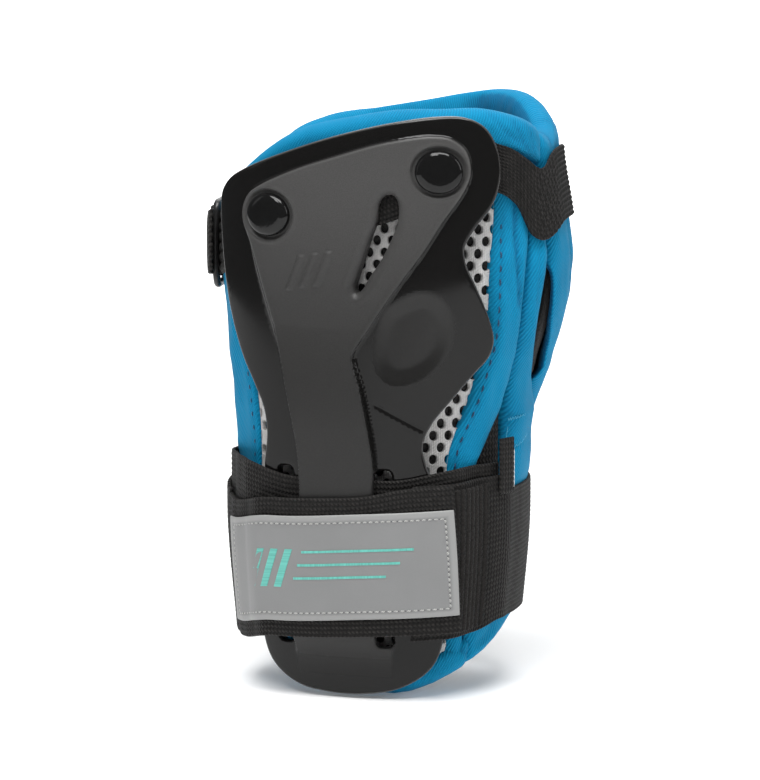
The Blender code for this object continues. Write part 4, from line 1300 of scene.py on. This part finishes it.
def make_lining():
    """The black inner lining, in two halves, with a soft quilted surface."""
    def level(s, z):
        return stand_off(s, z) * smooth((s - 70.0) / 5.0)

    def inner(s, z):
        return 0.35 + level(s, z) + 0.3 * ridges(s, 14.0) * ridges(z, 14.0)

    def thumb_side(z):
        return 0.5 + thumb_width(z)

    halves = (
        ("palm", SEAM_LEFT, 0.3, SEAM_RIGHT, thumb_side, lambda s: hem(s) + 3.0, "palm_foam_core"),
        ("back", SEAM_RIGHT, thumb_side, SEAM_LEFT + GIRTH_UNIT, 0.3, HEM_SIDE + 3.0, "back_padding"),
    )
    for name, low, low_gap, high, high_gap, bottom, under in halves:
        borders = (lambda z: at_share(low, z) + as_function(low_gap)(z),
                   lambda z: at_share(high, z) - as_function(high_gap)(z),
                   bottom, lambda s: hand_edge(s) - 15.0)
        lining = padded_panel("lining_" + name, borders, (150.0, 160.0), (2.5, 3.0),
                              lambda s, z: 1.6 + level(s, z), inner, BLACK_LINING,
                              lambda s, z: 1.0 + level(s, z), 2.0, rounds=(2.0, 2.0))
        finish_piece(lining, "guard", "black_lining", "liner_" + name)
        declare_sheet(lining, 0.165, 0.185, "stretched", [under])


# ---------------------------------------------------------------- the straps

def ribbon(name, route, low, high, thickness, material, lift=0.0, step=1.0, across=1.2, relief=0.0,
           sway=0.0, seed=0, lean=0.0):
    """A flat strap along a route of (share, t), with rounded edges.

    relief(run, v) raises its outer face, where run is the distance along it and v its height.
    The strap is raised by lift(share), which may be a pair for its lower and upper edges.  It
    sways by up to the given distance, and its far end leans by the given share.
    """
    line = curve_through(route, step)
    ahead = np.gradient(line, axis=0)
    ahead /= np.linalg.norm(ahead, axis=1)[:, None]
    aside = np.stack([-ahead[:, 1], ahead[:, 0]], axis=1)
    run = np.concatenate(([0.0], np.cumsum(np.linalg.norm(np.diff(line, axis=0), axis=1))))
    rim = np.array([0.0, 0.12, 0.35, 0.75])
    middle = np.linspace(rim[-1], high - low - rim[-1], max(3, round((high - low) / across)))
    rows = low + np.concatenate([rim, middle[1:-1], high - low - rim[::-1]])
    ends = [0.0, 0.12, 0.35]
    along = np.unique(np.concatenate([ends, run[1:-1], [run[-1] - end for end in ends]]))
    share, t = (np.interp(along, run, line[:, k]) for k in (0, 1))
    side = np.stack([np.interp(along, run, aside[:, k]) for k in (0, 1)], axis=1)
    v, a = np.meshgrid(rows, along, indexing="ij")
    edge = pillow(np.minimum(v - low, high - v), 0.7) * pillow(np.minimum(a, run[-1] - a), 0.5)
    half = thickness / 2.0 * edge
    extra = as_function(relief)(a, v) * edge
    drift = sway * noise(a, v, 17.0, 40.0, seed) * smooth(np.minimum(a, run[-1] - a) / 8.0)
    up = (v - low) / (high - low)
    shifts = as_function(lift)(share)
    bottom, top = shifts if isinstance(shifts, tuple) else (shifts, shifts)
    heights = v + bottom[None, :] * (1.0 - up) + top[None, :] * up
    share = share[None, :] + lean * (0.5 - up) * smooth((share[None, :] - 8.0) / 25.0)
    points = []
    for reach in (half + extra + drift, -half + drift):
        around, out = share + side[None, :, 0] * reach, t[None, :] + side[None, :, 1] * reach
        points.append(place(at_share(around, heights), heights, out).reshape(-1, 3))
    flat = np.stack([np.tile(a.ravel(), 2), np.tile(v.ravel(), 2), np.zeros(2 * v.size)], axis=1)
    backwards = line[-1, 0] < line[0, 0]
    return closed_skin(name, v.shape, np.concatenate(points), flat, material, flip=backwards, sharp=70.0)


def finish_strap(obj, body, slot, node_name, flat, held, rests_on):
    """Attach a strap or tape to its body and hide the CAD node that it stands for."""
    finish_piece(obj, body, slot, node_name)
    declare_sheet(obj, *flat, held, rests_on)


def finish_flap(obj, node_name, bend, flat, rests_on):
    """Hide a flap's CAD node and bake its placement into its mesh; the places of its bend, two (share, z, t),
    are worked out but not used.
    """
    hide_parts(node_name)
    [tuple(place(at_share(share, z), z, t)) for share, z, t in bend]
    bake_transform(obj)
    declare_sheet(obj, *flat, "laid", rests_on)


def left_bulge(share):
    """How far the wrist straps stand out more where they turn round the little-finger side."""
    return 2.6 * smooth((-37.0 - share) / 8.0) * smooth((share + 62.0) / 8.0)


def strap_rise(s):
    return BASE_SIDE + (BASE_FRONT - BASE_SIDE) * (1.0 - smooth((np.abs(s) - 34.0) / 14.0))


def flap_rise(s):
    return strap_rise(s) + OVER_BASE + OVER_BRIDGE * smooth((s + 34.0) / 10.0)


def wrist_strap_lift(share):
    return WRIST_STRAP_CLIMB * smooth((share + 40.0) / 100.0) * smooth((220.0 - share) / 100.0)


def base_strap_lift(share):
    return BASE_STRAP_CLIMB * smooth((np.abs(share) - 15.0) / 25.0)


def flap_lift(share):
    """Shifts of the flap's edges: it sags towards its hinge."""
    sag = 3.6 * smooth((-20.0 - share) / 22.0)
    low = wrist_strap_lift(share) - sag
    return low, low - 2.3 * smooth((24.0 - share) / 20.0) * smooth((share + 60.0) / 20.0)


def around_lift(share):
    """Shifts of the wrist strap's edges: wide at the landing and pinched at the thumb side."""
    low = wrist_strap_lift(share) - 3.0 * (1.0 - smooth((share - 46.0) / 14.0))
    high = wrist_strap_lift(share) - 5.5 * smooth((share - 57.0) / 5.0) * smooth((150.0 - share) / 60.0)
    drop = 3.6 * smooth((share - 240.0) / 10.0)
    return low - drop, high - drop


def hand_strap_height(share):
    return height_round(share, HAND_STRAP)


def hand_strap_lift(share):
    """Heights of the hand strap's edges: it is bunched up where it comes out from under the shell."""
    height = hand_strap_height(share)
    bunched = smooth((share - 20.0) / 10.0)
    low = height + 4.6 * bunched * (1.0 - smooth((share - 52.0) / 6.0))
    return low, height - 3.2 * bunched * (1.0 - smooth((share - 46.0) / 12.0))


def beside(route, height):
    """The route that runs beside another one, at a height to its left."""
    route = np.array(route, float)
    along = np.gradient(route, axis=0)
    along /= np.linalg.norm(along, axis=1)[:, None]
    return route + np.stack([-along[:, 1], along[:, 0]], axis=1) * height


def web_rows(deep):
    """Rows of woven ridges along a strap."""
    return lambda run, v: deep * (ridges(v, WEB_ROW) - 0.5)


def make_wrist_straps():
    low, high = WRIST_STRAP_LOW, WRIST_STRAP_HIGH
    base = [(s, strap_rise(s) + left_bulge(s)) for s in np.linspace(-62.0, 57.0, 41)]
    strap = ribbon("base_strap", base, low + BASE_STRAP_RAISE, high + BASE_STRAP_RAISE - 1.0, WEB, WEBBING,
                   base_strap_lift, 1.2, 0.6, web_rows(0.2))
    finish_strap(strap, "guard", "webbing", "wrist_base_strap", (0.050, 0.128), "stretched",
                 ["palm_shell_moulded"])

    end = GIRTH_UNIT + FLAP_HINGE - 0.3
    around = [(s, strap_rise(s) + OVER_BASE) for s in np.linspace(23.0, 60.0, 13)]
    for s in np.linspace(66.0, end, 60):
        dip = 1.5 * smooth((s - 60.0) / 8.0) * smooth((end - s) / 20.0)
        around.append((s, BASE_SIDE + OVER_BASE - dip + left_bulge(s - GIRTH_UNIT)))
    strap = ribbon("wrist_strap_web", around, low, high, WEB, WEBBING, around_lift, 1.2, 0.6, web_rows(0.2))
    finish_strap(strap, "guard", "webbing", "wrist_strap", (0.0505, 0.236), "stretched",
                 ["back_padding", "thumb_side_front"])

    landing = [(s, strap_rise(s) + OVER_BASE) for s in np.linspace(24.0, 50.0, 10)]
    tape = ribbon("landing_tape", beside(landing, TAPE_SPACING), low + 2.0, high - 2.0, TAPE, LOOP,
                  around_lift, 0.4, 1.0, lambda run, v: 0.42 * (ridges(run, TAPE_RIB) - 0.4), 0.12, 4)
    finish_strap(tape, "guard", "loop_tape", "wrist_loop_tape", (0.046, 0.028), "laid", ["wrist_strap_web"])

    bend_z, bend_t = 44.0, BASE_SIDE + OVER_BASE
    flap = [(s, flap_rise(s) + left_bulge(s)) for s in np.linspace(FLAP_HINGE - 0.6, FLAP_TIP, 30)]
    cloth = ribbon("closing_flap_web", flap, low, high, WEB, WEBBING, flap_lift, 1.0, 0.42, web_rows(0.24),
                   0.18, 5, FLAP_LEAN)
    bend = ((FLAP_HINGE - 0.6, bend_z, bend_t), (FLAP_HINGE + 4.0, bend_z, bend_t))
    finish_flap(cloth, "wrist_flap", bend, (0.0505, 0.091),
                ["wrist_strap_web", "landing_tape"])

    hook = [(s, flap_rise(s)) for s in np.linspace(23.5, FLAP_END - 1.0, 6)]
    tape = ribbon("flap_hooks", beside(hook, -TAPE_SPACING), low + 2.0, high - 2.0, TAPE, HOOK, flap_lift,
                  0.8, 1.2)
    finish_strap(tape, "closing_flap", "hook_tape", "wrist_hook_tape", (0.046, 0.0115), "laid",
                 ["closing_flap_web"])


def make_side_tabs():
    """The short tab by the thumb seam and the blank label behind it."""
    tabs = (
        ("side_tab", (54.2, 60.8), 3.4, (67.5, 86.6), WEB, WEBBING, "webbing", "anchor_tab",
         (0.0185, 0.0115)),
        ("side_label", (58.0, 62.6), 2.6, (69.0, 82.0), 0.5, LABEL, "label_white", "blank_side_label",
         (0.0135, 0.0105)),
    )
    for name, shares, rise, heights, thickness, material, slot, node_name, flat in tabs:
        route = [(s, strap_rise(s) + rise) for s in np.linspace(*shares, 5)]
        tab = ribbon(name, route, *heights, thickness, material, 0.0, 0.5, 0.5, web_rows(0.22))
        finish_strap(tab, "guard", slot, node_name, flat, "laid", ["thumb_side_front"])


PATCH_LOW, PATCH_HIGH = 25.3, 61.3
PATCH_FIRST, PATCH_LAST = -42.5, FLAP_TIP - 0.9


def patch_lift(share):
    return flap_lift(share)[0] - 0.6 * smooth((10.0 - share) / 30.0)


def on_patch(share, v, raised_by=0.0):
    """The place (s, z, t) of a spot on the patch's outer face."""
    z = v + float(patch_lift(share))
    t = float(flap_rise(share) + left_bulge(share)) + TAPE_SPACING + 0.4 + raised_by
    up = (v - PATCH_LOW) / (PATCH_HIGH - PATCH_LOW)
    share += PATCH_LEAN * (0.5 - up) * float(smooth((share - 8.0) / 25.0))
    return float(at_share(share, z)), z, t


def part_way(start, end, share):
    return [a + (b - a) * share for a, b in zip(start, end)]


def make_patch():
    """The grey patch on the flap: a film with a lighter rim."""
    low, high = PATCH_LOW, PATCH_HIGH
    route = [(s, flap_rise(s) + left_bulge(s)) for s in np.linspace(PATCH_FIRST, PATCH_LAST, 28)]
    patch = ribbon("flap_patch", beside(route, TAPE_SPACING), low, high, 0.8, FILM, patch_lift, 0.8, 0.8,
                   lean=PATCH_LEAN)
    spots = np.zeros(len(patch.data.vertices) * 3)
    patch.data.attributes["flat"].data.foreach_get("vector", spots)
    run, v = spots[0::3], spots[1::3]
    edge = np.minimum(np.minimum(run, run.max() - run), np.minimum(v - low, high - v))
    rim = patch.data.attributes.new("rim", "FLOAT", "POINT")
    rim.data.foreach_set("value", (1.0 - smooth((edge - 1.5) / 0.5)).astype(np.float32))
    finish_strap(patch, "closing_flap", "patch_film", "label_patch", (0.0365, 0.084), "laid",
                 ["closing_flap_web"])


def make_patch_stitches():
    """Bead stitches round the patch, with a needle hole between each two."""
    inset, pitch = 2.7, 1.75
    left, right = PATCH_FIRST + inset + 0.5, PATCH_LAST - inset
    low, high = PATCH_LOW + inset, PATCH_HIGH - inset
    corners = [(left, low), (right, low), (right, high), (left, high)]
    runs, holes = [], []
    for start, end in zip(corners, corners[1:] + corners[:1]):
        beads = max(2, round(math.dist(start, end) / pitch))
        for k in range(beads):
            head, tail, rest = (part_way(start, end, (k + share) / beads) for share in (0.14, 0.86, 1.04))
            runs.append((on_patch(*head), on_patch(*tail)))
            holes.append((on_patch(*tail, 0.02), on_patch(*rest, 0.02)))
    threads = stitches("patch_stitches", runs, GREY_THREAD, 0.3, 8, 5, 0.18)
    finish_piece(threads, "closing_flap", "patch_film")
    threads = stitches("patch_needle_holes", holes, BLACK_THREAD, 0.26, 6, 4, 0.0)
    finish_piece(threads, "closing_flap", "patch_film")


def make_patch_print():
    """The plain printed mark: three slanted bars and three stripes, without lettering."""
    lines = [((-27.0 + 4.6 * k, 37.0), (-23.0 + 4.6 * k, 50.0), 1.15, 0.0) for k in range(3)]
    for v in (49.0, 44.5, 40.0):
        lines.append(((-9.5 - (50.0 - v) * 0.3, v), (24.0 - (50.0 - v) * 0.9, v), 0.0, 0.42))
    points, faces, flats = [], [], []
    for start, end, half_s, half_v in lines:
        first = len(points)
        parts = max(2, round(abs(end[0] - start[0]) / 2.0))
        for k in range(parts + 1):
            share, v = part_way(start, end, k / parts)
            for side in (-1, 1):
                for up in (0.02, 0.12):
                    points.append(on_patch(share + side * half_s, v + side * half_v, up))
                    flats.append((share, v, up))
        last = first + 4 * parts
        for a in range(first, last, 4):
            b = a + 4
            faces += [(a + 1, b + 1, b + 3, a + 3), (a, a + 2, b + 2, b)]
            faces += [(a, b, b + 1, a + 1), (a + 2, a + 3, b + 3, b + 2)]
        faces += [(first, first + 1, first + 3, first + 2), (last, last + 2, last + 3, last + 1)]
    ink = make_piece("patch_print", place(*np.array(points).T), faces, TEAL_INK, flats, sharp=30.0)
    finish_piece(ink, "closing_flap", "patch_film")


RING_MIDDLE = RING_FRONT - RING_PITCH / 2.0
REAR_BAR = GIRTH_UNIT + RING_FRONT - RING_PITCH
HAND_LOW, HAND_HIGH = -HAND_STRAP_WIDTH / 2.0, HAND_STRAP_WIDTH / 2.0


def hand_level(share):
    """Level of the hand straps: they dip under the shell's wings."""
    return HAND_SIDE + (UNDER_SHELL - HAND_SIDE) * (1.0 - smooth((abs(share) - 45.0) / 12.0))


def half_turn(share, level, radius, side=1.0):
    """A strap's turn round a bar of the ring, from under it to over it."""
    turns = np.radians(np.arange(0.0, 181.0, 20.0))
    return [(share + side * radius * math.sin(a), level - radius * math.cos(a)) for a in turns]


def hand_strap_relief(run, v):
    """Rows near the shell, then beads, with a stretch of slanted ribs between them."""
    near = 1.0 - smooth((run - 38.0) / 5.0)
    far = smooth((run - 46.0) / 6.0) * smooth((66.0 - run) / 4.0)
    rows = 0.4 * (ridges(v, 1.55) - 0.5)
    beads = 0.42 * (ridges(v, WEB_ROW) * ridges(run, 1.3) - 0.4)
    ribs = 0.5 * (ridges(run + 0.35 * v, 2.1) - 0.4)
    return near * rows + (1.0 - near) * (1.0 - far) * beads + far * ribs


def make_hand_strap():
    """The strap over the back of the hand, and the tab that holds its ring."""
    route = [(s, hand_level(s)) for s in np.linspace(8.5, 60.0, 11)]
    route += [(s, HAND_SIDE) for s in np.linspace(65.0, REAR_BAR - 5.0, 27)]
    route += half_turn(REAR_BAR, (LOOP_LEVEL + HAND_SIDE) / 2.0, (LOOP_LEVEL - HAND_SIDE) / 2.0)
    route += [(REAR_BAR - 5.0, LOOP_LEVEL)]
    strap = ribbon("hand_strap_web", route, HAND_LOW, HAND_HIGH, WEB, WEBBING, hand_strap_lift, 0.5, 0.4,
                   hand_strap_relief, 0.15, 7)
    finish_strap(strap, "guard", "webbing", "hand_strap", (0.0245, 0.268), "stretched",
                 ["back_padding", "strap_ring_round"])

    radius = RING_BAR + 0.4 + WEB / 2.0
    over = RING_LEVEL + radius
    route = [(s, hand_level(s)) for s in np.linspace(-12.0, -54.0, 10)]
    route += [(-57.0, (hand_level(57.0) + RING_LEVEL - radius) / 2.0)]
    route += half_turn(RING_FRONT, RING_LEVEL, radius, -1.0)
    route += [(RING_FRONT + 3.5, over), (RING_FRONT + 7.0, over)]
    tab = ribbon("ring_tab_web", route[::-1], HAND_LOW + 1.0, HAND_HIGH - 1.0, WEB, WEBBING,
                 hand_strap_height, 0.5, 0.4,
                 lambda run, v: 0.75 * (ridges(v, 3.6) * (0.5 + 0.5 * ridges(run, 3.0)) - 0.3))
    finish_strap(tab, "guard", "webbing", "ring_tab", (0.0225, 0.066), "folded", ["strap_ring_round"])


def make_back_flap():
    """The hand strap's folded-back end, with the tapes that hold it."""
    start = REAR_BAR - 5.1
    end = start - 60.4
    climb = LOOP_LEVEL - FLAP_LEVEL
    flap = [(s, FLAP_LEVEL + climb * smooth((s - start + 14.0) / 14.0)) for s in np.linspace(end, start, 24)]
    cloth = ribbon("back_flap_web", flap, HAND_LOW, HAND_HIGH, WEB, WEBBING, hand_strap_height, 0.8, 0.42,
                   web_rows(0.22), 0.1, 8)
    z = float(hand_strap_height(start))
    bend = ((start, z, LOOP_LEVEL), (start - 4.0, z, LOOP_LEVEL))
    finish_flap(cloth, "hand_flap", bend, (0.0245, 0.064), ["hand_strap_web"])

    low, high = HAND_LOW + 1.5, HAND_HIGH - 1.5
    hook = [(s, FLAP_LEVEL - TAPE_SPACING) for s in np.linspace(end + 2.0, start - 20.0, 12)]
    tape = ribbon("back_flap_hooks", hook, low, high, TAPE, HOOK, hand_strap_height, 1.0, 1.2)
    finish_strap(tape, "back_flap", "hook_tape", "hand_hook_tape", (0.0215, 0.042), "laid", ["back_flap_web"])
    loop = [(s, HAND_SIDE + TAPE_SPACING) for s in np.linspace(end - 12.0, start - 8.0, 16)]
    tape = ribbon("hand_loops", loop, low, high, TAPE, LOOP, hand_strap_height, 0.6, 1.0,
                  lambda run, v: 0.22 * (ridges(run, TAPE_RIB) - 0.5))
    finish_strap(tape, "guard", "loop_tape", "hand_loop_tape", (0.0215, 0.07), "laid", ["hand_strap_web"])


def make_ring():
    """The rectangular ring: a round bar bent into a closed loop."""
    half, corner, sides = RING_PITCH / 2.0, 2.4, 20
    path = []
    for across, up, start in ((1, 1, 0.0), (-1, 1, 90.0), (-1, -1, 180.0), (1, -1, 270.0)):
        middle = (across * (half - corner), up * (RING_HALF_HEIGHT - corner))
        turns = np.radians(np.linspace(start, start + 90.0, 8))
        path += [(middle[0] + corner * math.cos(a), middle[1] + corner * math.sin(a)) for a in turns]
    path = curve_through(path, 0.8, closed=True)
    ahead = np.roll(path, -1, axis=0) - np.roll(path, 1, axis=0)
    ahead /= np.linalg.norm(ahead, axis=1)[:, None]
    turns = np.linspace(0.0, 2.0 * math.pi, sides, endpoint=False)
    s = RING_MIDDLE + path[:, :1] + RING_BAR * np.cos(turns) * ahead[:, 1:]
    z = float(hand_strap_height(RING_MIDDLE)) + path[:, 1:] - RING_BAR * np.cos(turns) * ahead[:, :1]
    t = RING_LEVEL + RING_BAR * np.sin(turns) + 0.0 * s
    faces = []
    for k in range(len(path)):
        a, b = k * sides, ((k + 1) % len(path)) * sides
        faces += [(a + j, a + (j + 1) % sides, b + (j + 1) % sides, b + j) for j in range(sides)]
    ring = make_piece("strap_ring_round", place(at_share(s, z), z, t).reshape(-1, 3), faces, RING_PLASTIC)
    finish_piece(ring, "ring", "ring_plastic", "strap_ring")


make_shell()
make_rivets()
make_foam()
make_mesh_panel()
make_side_panels()
make_rims()
make_back()
make_pocket()
make_lining()
make_wrist_straps()
make_patch()
make_patch_stitches()
make_patch_print()
make_side_tabs()
make_hand_strap()
make_back_flap()
make_ring()


# ---------------------------------------------------------------- the studio

AIM = Vector((0.0011, -0.0097, 0.0998))
VIEW_AZIMUTH = 16.0
VIEW_ELEVATION = 9.0
VIEW_DISTANCE = 1.5
FRAME_WIDTH = 0.2642
FLOOR_GLOW = 0.1
WALL_GLOW = 0.95


def painted_paper():
    """Painted paper with a faint tooth, which glows by its mark."""
    look = Look("paper", 0.8, 0.3, space="object")
    look.give("Emission Color", (1.0, 1.0, 1.0, 1.0))
    look.give("Emission Strength", look.mark("glow"))
    tooth = look.grain(400.0, 3.0)
    return look.finish(tooth, times(PAPER, 0.985), PAPER, tooth, 0.00005, 0.2)


def direction(azimuth, elevation):
    """The way from the guard to a camera or lamp, from the palm side round to the thumb and up."""
    turn, up = math.radians(azimuth), math.radians(elevation)
    return Vector((math.sin(turn) * math.cos(up), -math.cos(turn) * math.cos(up), math.sin(up)))


def aim_from(name, data, away, distance):
    """Put a camera or lamp at a distance, turned towards the guard."""
    obj = bpy.data.objects.new(name, data)
    obj.location = AIM + away * distance
    obj.rotation_euler = (-away).to_track_quat("-Z", "Y").to_euler()
    bpy.context.scene.collection.objects.link(obj)
    return obj


def make_backdrop():
    """A pale floor that curves up into a wall behind the guard."""
    behind = Vector((-math.sin(math.radians(VIEW_AZIMUTH)), math.cos(math.radians(VIEW_AZIMUTH)), 0.0))
    aside = Vector((behind.y, -behind.x, 0.0))
    profile = [(-0.8, 0.0), (-0.2, 0.0), (0.4, 0.0), (0.9, 0.0), (1.4, 0.0)]
    bend = np.radians(np.linspace(10, 90, 9))
    profile += [(1.4 + 0.8 * math.sin(a), 0.8 - 0.8 * math.cos(a)) for a in bend]
    profile += [(2.2, 2.6)]
    points, faces, glow = [], [], []
    for forward, up in profile:
        for side in (-0.75, 1.6):
            glow.append(FLOOR_GLOW + (WALL_GLOW - FLOOR_GLOW) * float(smooth((forward - 0.2) / 1.2)))
            spot = behind * forward + aside * side
            points.append((spot.x, spot.y, up - 0.0015))
    for k in range(len(profile) - 1):
        a = 2 * k
        faces.append((a, a + 1, a + 3, a + 2))
    backdrop = make_piece("backdrop", points, faces, painted_paper(), marks={"glow": glow})


def add_light(name, azimuth, elevation, distance, size, power):
    """A soft panel that shines at the guard."""
    lamp = bpy.data.lights.new(name, "AREA")
    lamp.shape = "RECTANGLE"
    lamp.size, lamp.size_y = size
    lamp.energy = power
    aim_from(name, lamp, direction(azimuth, elevation), distance)


def make_studio():
    make_backdrop()
    add_light("top", 8.0, 70.0, 1.2, (1.0, 0.6), 20.0)
    add_light("key", -8.0, 46.0, 1.5, (0.4, 0.35), 5.5)
    add_light("left_panel", -66.0, 20.0, 1.4, (0.25, 0.9), 0.6)
    add_light("right_panel", 80.0, 24.0, 1.4, (0.35, 0.9), 3.9)
    add_light("rear", 196.0, 50.0, 1.6, (1.2, 0.6), 8.0)
    world = bpy.data.worlds.new("studio")
    world.use_nodes = True
    background = world.node_tree.nodes["Background"].inputs
    background["Color"].default_value = (0.14, 0.142, 0.145, 1.0)
    background["Strength"].default_value = 1.0
    bpy.context.scene.world = world
    lens = bpy.data.cameras.new("camera")
    lens.lens = 36.0 * VIEW_DISTANCE / FRAME_WIDTH
    away = direction(VIEW_AZIMUTH, VIEW_ELEVATION)
    bpy.context.scene.camera = aim_from("camera", lens, away, VIEW_DISTANCE)
    bpy.context.scene.view_settings.view_transform = "Standard"


make_studio()
